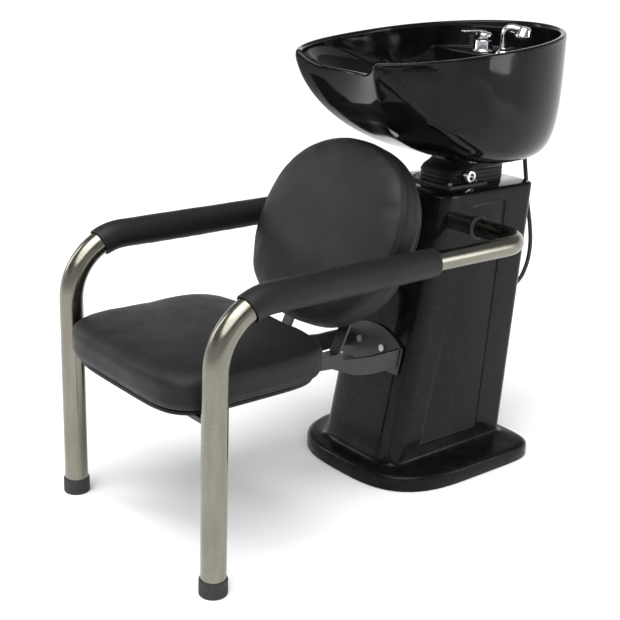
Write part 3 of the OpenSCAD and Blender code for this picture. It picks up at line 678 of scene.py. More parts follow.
@dataclass(frozen=True)
class Vinyl(Finish):
    """PVC upholstery leather, embossed: matte charcoal with a pebble grain and soft handling wrinkles.

    The real pebbles are about 0.7 mm. They are drawn 1.4 mm wide, so that they show.
    """

    specular: float = 0.26
    pebble_mm: float = 1.4
    pebble_shift_mm: float = 1.2

    def pattern(self, coat: Coat) -> None:
        """Adds the pebbles, the pores between them and the broad wrinkles.

        Args:
            coat: the material that is laid.
        """
        coat.shader.inputs["Specular IOR Level"].default_value = self.specular
        inputs = {0: coat.place, 1: coat.maths("MULTIPLY", coat.noise(9.0), self.pebble_shift_mm * MM)}
        bent = add_node(coat.tree, "ShaderNodeVectorMath", inputs, operation="ADD").outputs[0]
        cells = {"Vector": bent, "Scale": 1 / (self.pebble_mm * MM)}
        pebbles = add_node(coat.tree, "ShaderNodeTexVoronoi", cells, feature="DISTANCE_TO_EDGE")
        span = {"Value": pebbles.outputs["Distance"], "From Max": 0.22}
        grain = add_node(coat.tree, "ShaderNodeMapRange", span).outputs[0]
        wear = coat.noise(60.0, 5.0)
        coat.lay(
            coat.shades(wear, self.colour, "#151517"),
            coat.spread(wear, self.roughness + 0.06, self.roughness - 0.06),
            (coat.noise(38.0, 2.0), 0.5),
            (grain, 0.06),
            (coat.noise(0.8), 0.02),
        )


@dataclass(frozen=True)
class Rubber(Finish):
    """Moulded black rubber: matte, with a dusty bloom and fine pits."""

    def pattern(self, coat: Coat) -> None:
        """Adds the bloom and the pits.

        Args:
            coat: the material that is laid.
        """
        bloom = coat.noise(12.0, 6.0)
        dull = coat.spread(bloom, self.roughness - 0.08, self.roughness + 0.08)
        coat.lay(coat.shades(bloom, self.colour, "#29292a"), dull, (coat.noise(0.9, 3.0), 0.05))


@dataclass(frozen=True)
class Moulded(Finish):
    """Injection moulded polypropylene: an even spark-eroded grain and a soft sheen."""

    def pattern(self, coat: Coat) -> None:
        """Adds the spark-eroded grain and faint flow marks.

        Args:
            coat: the material that is laid.
        """
        flow = coat.noise(26.0, 4.0, (1.0, 1.0, 3.0))
        dull = coat.spread(flow, self.roughness - 0.05, self.roughness + 0.07)
        coat.lay(coat.shades(flow, self.colour, "#35363a"), dull, (coat.noise(0.7, 2.0), 0.03))


@dataclass(frozen=True)
class Braid(Finish):
    """Braided stainless hose: two sets of wires crossing at a slant, 1.6 mm apart."""

    wire_mm: float = 1.6

    def pattern(self, coat: Coat) -> None:
        """Crosses two wave patterns for the wires.

        Args:
            coat: the material that is laid.
        """
        waves = []
        for slant in (1.0, -1.0):
            turn = {"Vector": coat.place, "Rotation": (0.0, slant * 0.8, slant * 0.9)}
            wave = {"Vector": add_node(coat.tree, "ShaderNodeMapping", turn).outputs[0]}
            wave["Scale"] = 0.314 / (self.wire_mm * MM)
            waves.append(add_node(coat.tree, "ShaderNodeTexWave", wave).outputs["Fac"])
        over = coat.maths("MAXIMUM", *waves)
        dull = coat.spread(over, self.roughness + 0.1, self.roughness)
        coat.lay(coat.shades(over, "#33343a", self.colour), dull, (over, 0.2))


GELCOAT = Gelcoat("gloss_shell", "gelcoat_black_polished", "#0a0a0b", 0.07)
GLAZE = BlackGlaze("basin_glaze", "vitreous_china_black_glaze", "#08080a", 0.05)
TUBE = SatinTube("steel_tube", "stainless_brushed_satin", "#7d7a70", 0.2, 1.0, Space.ALONG)
CHROME = Plating("chrome", "brass_chrome_plated", "#e4e6e8", 0.05, 1.0)
ZINC = Plating("chrome", "steel_zinc_plated", "#c2c4c4", 0.3, 1.0)
POWDER = PowderCoat("dark_steel", "steel_powder_coated_black", "#17171a", 0.42)
VINYL = Vinyl("leather", "pvc_leather_embossed_charcoal", "#101012", 0.52)
RUBBER = Rubber("rubber", "rubber_moulded_black", "#131314", 0.68)
PLASTIC = Moulded("dark_plastic", "polypropylene_moulded_grey", "#27282b", 0.46)
BRAID = Braid("braid", "hose_braided_stainless", "#9a9da2", 0.32, 1.0)
FINISHES = (GELCOAT, GLAZE, TUBE, CHROME, POWDER, VINYL, RUBBER, PLASTIC, BRAID)


# ---------------------------------------------------------------- studio


@dataclass
class Studio:
    """The pale floor, the soft lights and the photograph's camera. In metres."""

    azimuth: float = 50.13
    elevation: float = 18.61
    roll: float = 2.06
    eye: tuple[float, float, float] = (1.9409, -1.9513, 1.2689)
    lens: float = 70.7
    floor_radius: float = 22.0
    cove_radius: float = 4.0
    wall_height: float = 9.0

    def camera(self) -> None:
        """Sets the camera at the place solved from the photograph."""
        a, e, r = (math.radians(v) for v in (self.azimuth, self.elevation, self.roll))
        back = Vector((math.sin(a) * math.cos(e), -math.cos(a) * math.cos(e), math.sin(e)))
        right = (-back).cross(Vector((0, 0, 1))).normalized()
        up = right.cross(-back)
        across = math.cos(r) * right + math.sin(r) * up
        upward = -math.sin(r) * right + math.cos(r) * up
        data = bpy.data.cameras.new("photo_camera")
        data.lens = self.lens
        camera = bpy.data.objects.new("photo_camera", data)
        bpy.context.collection.objects.link(camera)
        camera.matrix_world = Matrix.Translation(self.eye) @ Matrix(
            (across, upward, back)
        ).transposed().to_4x4()
        bpy.context.scene.camera = camera

    def softbox(
        self, name: str, place: tuple[float, float, float], size: tuple[float, float], watts: float
    ) -> None:
        """Hangs one softbox that faces the middle of the unit.

        Args:
            name: the light's name.
            place: its centre.
            size: its width and height.
            watts: its power.
        """
        data = bpy.data.lights.new(name, "AREA")
        data.shape, data.size, data.size_y, data.energy = "RECTANGLE", size[0], size[1], watts
        lamp = bpy.data.objects.new(name, data)
        bpy.context.collection.objects.link(lamp)
        aim = Vector((0, -0.2, 0.55)) - Vector(place)
        lamp.matrix_world = Matrix.Translation(place) @ aim.to_track_quat("-Z", "Y").to_matrix().to_4x4()

    def light(self) -> None:
        """Sets the overhead, side and front softboxes and the room's fill."""
        self.softbox("overhead_softbox", (0.3, -1.4, 3.6), (2.6, 2.2), 60)
        self.softbox("right_softbox", (3.0, 2.4, 1.5), (0.7, 2.2), 26)
        self.softbox("left_softbox", (-3.4, -2.4, 2.2), (1.0, 2.2), 34)
        sun = bpy.data.lights.new("skylight", "SUN")
        sun.energy, sun.angle = 3.1, math.radians(60)
        lamp = bpy.data.objects.new("skylight", sun)
        bpy.context.collection.objects.link(lamp)
        lamp.matrix_world = Vector((0.35, -0.45, 1)).to_track_quat("Z", "Y").to_matrix().to_4x4()
        world = bpy.data.worlds.new("studio_room")
        world.use_nodes = True
        shade = world.node_tree.nodes["Background"]
        shade.inputs["Color"].default_value = linear("#f4f5f7")
        shade.inputs["Strength"].default_value = 0.3
        bpy.context.scene.world = world
        bpy.context.scene.view_settings.view_transform = "Standard"

    def floor(self) -> None:
        """Lays the pale round floor, which curves up into the studio's wall."""
        cove = [
            (self.floor_radius + self.cove_radius * math.sin(t), self.cove_radius * (1 - math.cos(t)))
            for t in np.linspace(0, math.pi / 2, 13)
        ]
        corners = [(0.0, 0.0), *cove, (cove[-1][0], self.wall_height)]
        profile = [(radius / MM, height / MM - 0.5) for radius, height in corners]
        floor = turned("studio_floor", profile, Matrix.Identity(4), 96, 0)
        paint = bpy.data.materials.new("paper_roll_white")
        paint.use_nodes = True
        shader = paint.node_tree.nodes["Principled BSDF"]
        shader.inputs["Base Color"].default_value = linear("#fbfbfb")
        shader.inputs["Roughness"].default_value = 0.9
        shader.inputs["Specular IOR Level"].default_value = 0.1
        floor.data.materials.append(paint)


# ---------------------------------------------------------------- basin


def ease(value: np.ndarray | float) -> np.ndarray | float:
    """A smooth step from 0 to 1.

    Args:
        value: the share of the way.

    Returns:
        The eased share.
    """
    t = np.clip(value, 0, 1)
    return t * t * (3 - 2 * t)


@dataclass
class Basin:
    """The glazed basin: sculpted belly, rolled rim with the neck rest, deep bowl and the tap deck behind."""

    rim_hw: float = 232
    rim_front_z: float = 963
    rim_rear_z: float = 1012
    rim_rear_l: float = 312
    rim_cy: float = 31
    tip_y: float = -292
    side_l: float = 355
    side_pow: float = 2.5
    neck_hw: float = 125
    neck_cut: float = 36
    neck_dip: float = 30
    wall: float = 7
    rim_w: float = 16
    collar_r: float = 81
    collar_z: float = 706
    belly_z: float = 726
    floor_r: float = 44
    floor_z: float = 802
    drain_r: float = 24
    drain_y: float = 136
    middle_y: float = 60
    swell_l: float = 420
    belly_swell: tuple[float, float] = (1.75, 4.5)
    bowl_swell: tuple[float, float] = (1.5, 2.6)
    deck_eye: tuple[float, float] = (-150, 1200)
    tap_y: float = 182
    tap_z: float = 945
    wing_crease: tuple = ((-292, 962), (-269, 935), (-224, 892), (-170, 849), (-105, 818), (-40, 800))
    wing_depth: float = 10.0
    flank_crease: tuple = ((-235, 985), (-212, 959), (-137, 875), (-75, 825), (-5, 785), (60, 762))
    flank_depth: float = 4.0

    def rim(self) -> np.ndarray:
        """The rim's outline, anticlockwise seen from above, from the middle of the neck rest.

        Returns:
            Points in mm.
        """
        s = np.linspace(0, 1, 15)[:-1]
        dip = self.rim_front_z - self.neck_dip * (1 - s**4)
        half = [*zip(s * self.neck_hw, self.tip_y + self.neck_cut * (1 - s * s), dip)]
        u_tip = math.asin(((self.rim_cy - self.tip_y) / self.side_l) ** (self.side_pow / 2))
        k = (self.rim_hw - self.neck_hw) / (self.rim_hw * (1 - math.cos(u_tip) ** (2 / self.side_pow)))
        for u in np.linspace(u_tip, 0, 27)[:-1]:
            x = self.rim_hw - k * self.rim_hw * (1 - math.cos(u) ** (2 / self.side_pow))
            y = self.rim_cy - self.side_l * math.sin(u) ** (2 / self.side_pow)
            half.append((x, y, self.rim_z(y)))
        for v in np.linspace(0, math.pi / 2, 33):
            y = self.rim_cy + self.rim_rear_l * math.sin(v)
            half.append((self.rim_hw * math.cos(v), y, self.rim_z(y)))
        half = np.array(half)
        return np.concatenate([half, half[-2:0:-1] * (-1, 1, 1)])

    def rim_z(self, y: float) -> float:
        """The rim's height at a depth.

        Args:
            y: the depth.

        Returns:
            The height.
        """
        rear = self.rim_cy + self.rim_rear_l
        return (
            self.rim_front_z + (self.rim_rear_z - self.rim_front_z) * (y - self.tip_y) / (rear - self.tip_y)
        )

    def inward(self, points: np.ndarray) -> np.ndarray:
        """Flat directions from points towards the bowl's middle.

        Args:
            points: the points.

        Returns:
            One unit direction for each.
        """
        way = np.array([0, self.middle_y]) - points[:, :2]
        return way / np.linalg.norm(way, axis=1)[:, None]

    def drawn_in(self, rim: np.ndarray, inset: float) -> np.ndarray:
        """The rim's outline drawn in towards the bowl's middle.

        Args:
            rim: the rim's outline.
            inset: how far it is drawn in.

        Returns:
            The smaller outline.
        """
        return np.column_stack([rim[:, :2] + self.inward(rim) * inset, rim[:, 2]])

    def bowl_row(
        self, rim: np.ndarray, s: float, inset: float, r: float, z: float, swell: tuple[float, float],
        drop: float
    ) -> np.ndarray:
        """One row of a bowl surface between the rim and a round base.

        Args:
            rim: the rim's outline.
            s: the row's angle, 0 at the rim and 90 at the base.
            inset: how far the row's top is drawn in from the rim.
            r: the base's radius.
            z: the base's height.
            swell: the belly's fullness at the front and at the rear.
            drop: how far the row's top lies under the rim.

        Returns:
            The row's points.
        """
        top = self.drawn_in(rim, inset) - (0, 0, drop)
        turn = np.arctan2(rim[:, 1] - self.drain_y, rim[:, 0])
        base = np.column_stack([r * np.cos(turn), self.drain_y + r * np.sin(turn)])
        full = swell[0] + (swell[1] - swell[0]) * ease((rim[:, 1] - self.tip_y) / self.swell_l)
        out = max(math.cos(math.radians(s)), 0.0) ** (2 / full)
        down = math.sin(math.radians(s)) ** (2 / full)
        plan = base + (top[:, :2] - base) * out[:, None]
        return np.column_stack([plan, top[:, 2] - (top[:, 2] - z) * down])

    def led_over(
        self, column: np.ndarray, angles: np.ndarray, deck: np.ndarray, counts: tuple[int, ...]
    ) -> np.ndarray:
        """Where the rows cross one column of the bowl's inside, led over the tap deck and down its front.

        Args:
            column: points of the plain bowl under one point of the rim.
            angles: the angle of each.
            deck: depth and height of the deck's front edge.
            counts: rows above the deck, on it, down its front and under it.

        Returns:
            One angle for each row.
        """
        eye = np.array(self.deck_eye, float)
        edge = deck - eye
        top = np.interp(-deck[1], -column[:, 2], angles) if column[0, 2] > deck[1] else 0.0
        over = np.interp(top, angles, column[:, 1]) - deck[0]
        bend = foot = top
        if over > 0:
            past = column[:, 1:] - eye
            side = past[:, 0] * edge[1] - past[:, 1] * edge[0]
            way = -1 if side[0] > side[-1] else 1
            bend = np.interp(0, side[::way], angles[::way])
            inside = angles[(column[:, 1] > deck[0]) & (column[:, 2] < deck[1])]
            foot = inside.max() if len(inside) else top
        stops = [0, top, bend, foot, 90.0]
        for k in range(1, 4):
            stops[k] = max(stops[k], stops[k - 1] + 0.4)
        parts = [np.linspace(*stops[k : k + 2], counts[k], endpoint=False) for k in range(4)]
        led = np.concatenate([*parts, [90.0]])
        even = np.linspace(0, 90, len(led))
        return even + (led - even) * float(ease((over + 150) / 150))

    def onto_deck(self, points: np.ndarray, deck: np.ndarray) -> np.ndarray:
        """Moves the points that lie in the tap deck's block out to its top or its front.

        Args:
            points: a column's points.
            deck: depth and height of the deck's front edge.

        Returns:
            The same points, moved.
        """
        hidden = (points[:, 1] > deck[0]) & (points[:, 2] < deck[1])
        if hidden.any():
            eye = np.array(self.deck_eye, float)
            ray = points[hidden][:, 1:] - eye
            reach = np.maximum((deck[1] - eye[1]) / ray[:, 1], (deck[0] - eye[0]) / ray[:, 0])
            points[hidden, 1:] = eye + ray * reach[:, None]
        return points

    def inner_rows(self, rim: np.ndarray, grow: float, counts: tuple[int, ...]) -> list[np.ndarray]:
        """Rows of the bowl's inside, from the rim to the floor.

        Args:
            rim: the rim's outline.
            grow: 0 for the glazed inside, or the wall for the hidden underside.
            counts: rows above the tap deck, on it, down its front and under it.

        Returns:
            Rows of points.
        """
        angles = np.linspace(0, 90, 1801)
        args = (self.rim_w - grow, self.floor_r + grow, self.floor_z - grow, self.bowl_swell, 4.0)
        grid = np.array([self.bowl_row(rim, s, *args) for s in angles])
        deck = np.array([self.tap_y + grow, self.tap_z - grow])
        rows = np.zeros((sum(counts) + 1, len(rim), 3))
        for i in range(len(rim)):
            column = grid[:, i]
            led = self.led_over(column, angles, deck, counts)
            points = np.column_stack([np.interp(led, angles, column[:, axis]) for axis in range(3)])
            rows[:, i] = self.onto_deck(points, deck)
        return list(rows)

    def beside(self, points: np.ndarray, line: tuple) -> tuple[np.ndarray, np.ndarray]:
        """Signed distance of points from a crease in the side view, and how far along it they lie.

        Args:
            points: points in mm.
            line: depth and height of the crease's points.

        Returns:
            The distance, positive in front of the crease, and the share of its length, 0 to 1.
        """
        path = curve_points([(y, z, 0) for y, z in line], 12)[:, :2]
        gap = points[:, None, 1:] - path[None]
        near = np.linalg.norm(gap, axis=2).argmin(1)
        ahead = np.gradient(path, axis=0)[near]
        away = gap[np.arange(len(points)), near]
        side = np.sign(ahead[:, 1] * away[:, 0] - ahead[:, 0] * away[:, 1])
        return np.linalg.norm(away, axis=1) * side, near / (len(path) - 1)

    def sculpted(self, row: np.ndarray) -> np.ndarray:
        """Presses the wing crease and the flank's valley into a row of the belly.

        Args:
            row: points of the belly's outside.

        Returns:
            The row with its points moved in or out.
        """
        wing, run = self.beside(row, self.wing_crease)
        wing = -wing
        at_side = ease((np.abs(row[:, 0]) - 40) / 60)
        fade = ease((1 - run) / 0.3) * ease((130 - wing) / 100) * at_side
        scoop = np.where(wing > 0, (1 - np.exp(-wing / 12)) * self.wing_depth, -2.5 * np.exp(wing / 9)) * fade
        flank, run = self.beside(row, self.flank_crease)
        valley = (
            self.flank_depth * np.exp(-((flank / 16) ** 2)) * ease(run / 0.1) * ease((1 - run) / 0.25)
            * at_side
        )
        top = ease((self.rim_front_z + 60 - row[:, 2]) / 60)
        press = (scoop + valley) * np.maximum(top, 0.3)
        return np.column_stack([row[:, :2] + self.inward(row) * press[:, None], row[:, 2]])

    def build(self) -> None:
        """Builds the closed, double-walled basin from one run of rings and glazes it."""
        rim = self.rim()
        outside = (0.0, self.collar_r, self.belly_z, self.belly_swell, 0.0)
        rows = []
        for s in np.concatenate([np.linspace(90, 60, 12)[:-1], np.linspace(60, 4, 34), [2.2]]):
            rows.append(self.sculpted(self.bowl_row(rim, s, *outside)))
        lip = ((0.2, -4.5), (1.2, -1.6), (3.4, -0.2), (7.5, 0.6), (11.5, 0.2), (14.2, -1.4))
        rows += [self.drawn_in(rim, inset) + (0, 0, lift) for inset, lift in lip]
        rows += self.inner_rows(rim, 0.0, (9, 9, 14, 8))
        floor = rows[-1]
        hub = np.array([0, self.drain_y, self.floor_z])
        rows += [hub + (floor - hub) * k for k in (0.86, 0.64, (self.drain_r + 1.5) / self.floor_r)]
        drain = hub + (floor - hub) * (self.drain_r / self.floor_r)
        rows += [drain - (0, 0, depth) for depth in (1.2, self.wall)]
        under = self.inner_rows(rim, self.wall, (3, 3, 6, 4))
        rows += under[::-1]
        inner = (self.wall, self.collar_r - self.wall, self.belly_z + self.wall, self.belly_swell, 12.0)
        for s in (6, 14, 24, 35, 46, 57, 68, 80, 90):
            rows.append(self.bowl_row(rim, s, *inner))
        mouth = rows[-1] * (1, 1, 0)
        centre = np.array([0, self.drain_y, 0])
        bore, r, foot = self.collar_r - self.wall, self.collar_r, self.collar_z
        collar = [(bore, foot + 1), (bore + 1, foot), (r - 1, foot), (r, foot + 1.2), (r, foot + 9)]
        collar += [(r, self.belly_z - 5), (r + 1.2, self.belly_z - 1.5)]
        rows += [centre + (mouth - centre) * (radius / bore) + (0, 0, z) for radius, z in collar]
        piece = from_rings("basin_glazed", np.array(rows) * MM, loop=True)
        apply_modifier(piece, "SUBSURF", levels=1, render_levels=1)
        smooth(piece, 180)
        dress(piece, GLAZE, "basin", ("basin_bowl",))


# ---------------------------------------------------------------- pedestal


def rod(
    name: str, start: Vector, axis: Vector, radius: float, length: float, steps: int = 48
) -> bpy.types.Object:
    """A plain rod from a place along an axis, to cut a round hole with or to stand as a pin.

    Args:
        name: the piece's name.
        start: the middle of its first end, in metres.
        axis: its direction.
        radius: its radius in mm.
        length: its length in mm.
        steps: faces round it.

    Returns:
        The new rod.
    """
    deselect()
    bpy.ops.mesh.primitive_cylinder_add(vertices=steps, radius=radius * MM, depth=length * MM)
    piece = bpy.context.object
    piece.name = name
    piece.data.transform(Matrix.Translation((0, 0, length * MM / 2)))
    settle(piece, frame_at(start, axis))
    return piece


def evened(points: np.ndarray, count: int) -> np.ndarray:
    """Picks points along a dense line, closer together where it turns.

    Args:
        points: the dense line, flat.
        count: how many to pick.

    Returns:
        The picked points, both ends among them.
    """
    length = run_along(points)
    steps = np.diff(points, axis=0)
    heading = np.unwrap(np.arctan2(steps[:, 1], steps[:, 0]))
    turned_by = np.concatenate([[0, 0], np.cumsum(np.abs(np.diff(heading)))])
    measure = length / length[-1] + 1.5 * turned_by / turned_by[-1]
    spots = np.linspace(0, measure[-1], count)
    return np.column_stack([np.interp(spots, measure, points[:, k]) for k in (0, 1)])


@dataclass
class Pedestal:
    """The moulded shell: a foot flange that blends into a leaning column with a bowed front."""

    height: float = 662
    foot_hw: float = 124
    top_hw: float = 120
    front: tuple[float, float] = (-190, -67)
    rear: tuple[float, float] = (193, 247)
    flange: tuple[float, float, float] = (213.5, 229, 38)
    wall: float = 5
    bow: float = 70
    corner: float = 26
    dense: int = 600
    bow_points: int = 40
    recess: tuple = ((-90, 75), (102, 75), (146, 632), (36, 632))
    recess_depth: float = 2
    arm: tuple[float, float, float] = (61, 576, 23.2)
    waste_y: float = 136
    deck_hole_r: float = 40
    rear_holes: tuple = ((80, 398, 10), (-58, 100, 13.5), (58, 100, 13.5), (0, 100, 22))
    door: tuple[float, float, float] = (250, 72, 101)

    def at(self, pair: tuple[float, float], z: float) -> float:
        """A value that runs from the foot to the top of the column.

        Args:
            pair: its values at the foot and at the top.
            z: the height.

        Returns:
            The value at that height.
        """
        return pair[0] + (pair[1] - pair[0]) * z / self.height

    def ring(self, half: list[tuple[float, float]], z: float) -> np.ndarray:
        """A full ring from its right half, mirrored.

        Args:
            half: width and depth of each point of the right half.
            z: the ring's height.

        Returns:
            The whole ring.
        """
        half = np.array([(x, y, z) for x, y in half])
        return np.concatenate([half, half[-2:0:-1] * (-1, 1, 1)])

    def column_ring(self, z: float, inset: float) -> np.ndarray:
        """A ring of the column, drawn in by an inset.

        Args:
            z: its height.
            inset: how far it is drawn in.

        Returns:
            The ring's points.
        """
        a = self.at((self.foot_hw, self.top_hw), z) - inset
        front, rear = self.at(self.front, z) + inset, self.at(self.rear, z) - inset
        turn = np.linspace(0, math.pi / 2 - 1e-9, self.dense)
        bow = np.column_stack([a * np.sin(turn) ** 0.4, front + self.bow * (1 - np.cos(turn) ** 0.4)])
        half = [tuple(p) for p in evened(bow, self.bow_points)]
        r = self.corner
        half += [
            (a - r * (1 - math.cos(s)), rear - r * (1 - math.sin(s))) for s in np.linspace(0, math.pi / 2, 10)
        ]
        half += [(x, rear) for x in np.linspace(half[-1][0], 0, 6)[1:]]
        return self.ring(half, z)

    def flange_ring(self, z: float, inset: float) -> np.ndarray:
        """A ring of the foot flange, drawn in by an inset, with the column ring's count of points.

        Args:
            z: its height.
            inset: how far it is drawn in.

        Returns:
            The ring's points.
        """
        a, l = self.flange[0] - inset, self.flange[1] - inset
        turn = np.linspace(0, math.pi / 2 - 1e-9, self.dense)
        front = np.column_stack([a * np.sin(turn) ** (2 / 3), -l * np.cos(turn) ** (2 / 3)])
        half = [tuple(p) for p in evened(front, self.bow_points)]
        half += [
            (a * math.cos(u) ** 0.25, l * math.sin(u) ** 0.25) for u in np.radians(np.linspace(6, 84, 10))
        ]
        half += [(x, half[-1][1]) for x in np.linspace(half[-1][0], 0, 6)[1:]]
        return self.ring(half, z)

    def outside(self) -> bpy.types.Object:
        """The shell's outside: rounded flange, a small cove and the leaning column.

        Returns:
            The closed outside.
        """
        h = self.flange[2]
        foot = ((0, 3), (0.8, 0.9), (2.5, 0))
        edge = ((12, 0), (7, 0.8), (4, 2.6), (1.6, 5.6), (0.4, 9), (0, 13))
        cove = ((0.2, -10), (1.2, -6.5), (3.4, -3.4), (7, -1.2), (13, 0))
        top = ((9, 0), (5, 0.2), (2.4, 1.3), (0.8, 3.2), (0, 6))
        rows = [self.flange_ring(z, inset) for z, inset in foot]
        rows += [self.flange_ring(h - down, inset) for down, inset in edge]
        rows += [self.column_ring(h + up, inset) for up, inset in cove]
        rows += [self.column_ring(z, 0) for z in np.linspace(h + 40, self.height - 30, 14)]
        rows += [self.column_ring(self.height - down, inset) for down, inset in top]
        return from_rings("pedestal_gelcoat", np.array(rows) * MM)

    def inside(self) -> bpy.types.Object:
        """The hollow inside the shell.

        Returns:
            The cutter for the hollow.
        """
        h, wall = self.flange[2], self.wall
        rows = [
            self.flange_ring(-1, wall + 2), self.flange_ring(h - wall - 2, wall + 2),
            self.column_ring(h - wall, wall)
        ]
        rows += [self.column_ring(self.height / 2, wall), self.column_ring(self.height - wall, wall)]
        return from_rings("pedestal_hollow", np.array(rows) * MM)

    def side_pocket(self, side: int) -> bpy.types.Object:
        """The shallow pocket in one side, with drafted walls.

        Args:
            side: 1 on the left, -1 on the right.

        Returns:
            The cutter.
        """
        corners = curve_corners(self.recess, 12.0)
        middle = corners.mean(0)
        rows = []
        away = corners - middle
        away /= np.linalg.norm(away, axis=1)[:, None]
        floor = -self.recess_depth
        for depth, grow in ((floor, -1.2), (floor + 0.6, 0.0), (0.2, 1.6), (12, 3.0)):
            flat = corners + away * grow
            x = self.foot_hw + depth - flat[:, 1] * (self.foot_hw - self.top_hw) / self.height
            rows.append(np.column_stack([side * x, flat]))
        return from_rings("pocket", np.array(rows) * MM)

    def build(self) -> None:
        """Builds the shell, cuts its openings and dresses it."""
        shell = self.outside()
        cut(shell, self.inside())
        for side in (1, -1):
            cut(shell, self.side_pocket(side))
            y, z, radius = self.arm
            cut(shell, rod("arm_hole", Vector((side * 70, y, z)) * MM, Vector((side, 0, 0)), radius, 120))
        deck = Vector((0, self.waste_y, self.height - 20)) * MM
        cut(shell, rod("deck_hole", deck, Vector((0, 0, 1)), self.deck_hole_r, 40))
        lean = math.atan((self.rear[1] - self.rear[0]) / self.height)
        through = Vector((0, math.cos(lean), -math.sin(lean)))
        for x, z, radius in self.rear_holes:
            start = Vector((x, self.at(self.rear, z), z)) - 40 * through
            cut(shell, rod("rear_hole", start * MM, through, radius, 80))
        z, half_w, half_h = self.door
        corner = Vector((half_w, 20, half_h)) * MM
        door = blocks("door", [(-corner, corner)])
        settle(door, shift(0, self.at(self.rear, z), z) @ Matrix.Rotation(-lean, 4, "X"))
        cut(shell, door)
        smooth(shell, 32)
        dress(shell, GELCOAT, "frame", ("pedestal_shell",))


def curve_corners(corners: tuple, radius: float) -> np.ndarray:
    """A polygon with its corners rounded, in eight steps each.

    Args:
        corners: the polygon's corners.
        radius: the corner radius.

    Returns:
        The rounded outline.
    """
    out = []
    for i, corner in enumerate(corners):
        here = np.array(corner, float)
        before = np.array(corners[i - 1], float) - here
        after = np.array(corners[(i + 1) % len(corners)], float) - here
        a, b = here + before / np.linalg.norm(before) * radius, here + after / np.linalg.norm(after) * radius
        out += [(1 - t) ** 2 * a + 2 * t * (1 - t) * here + t * t * b for t in np.linspace(0, 1, 8)]
    return np.array(out)


# ---------------------------------------------------------------- chair


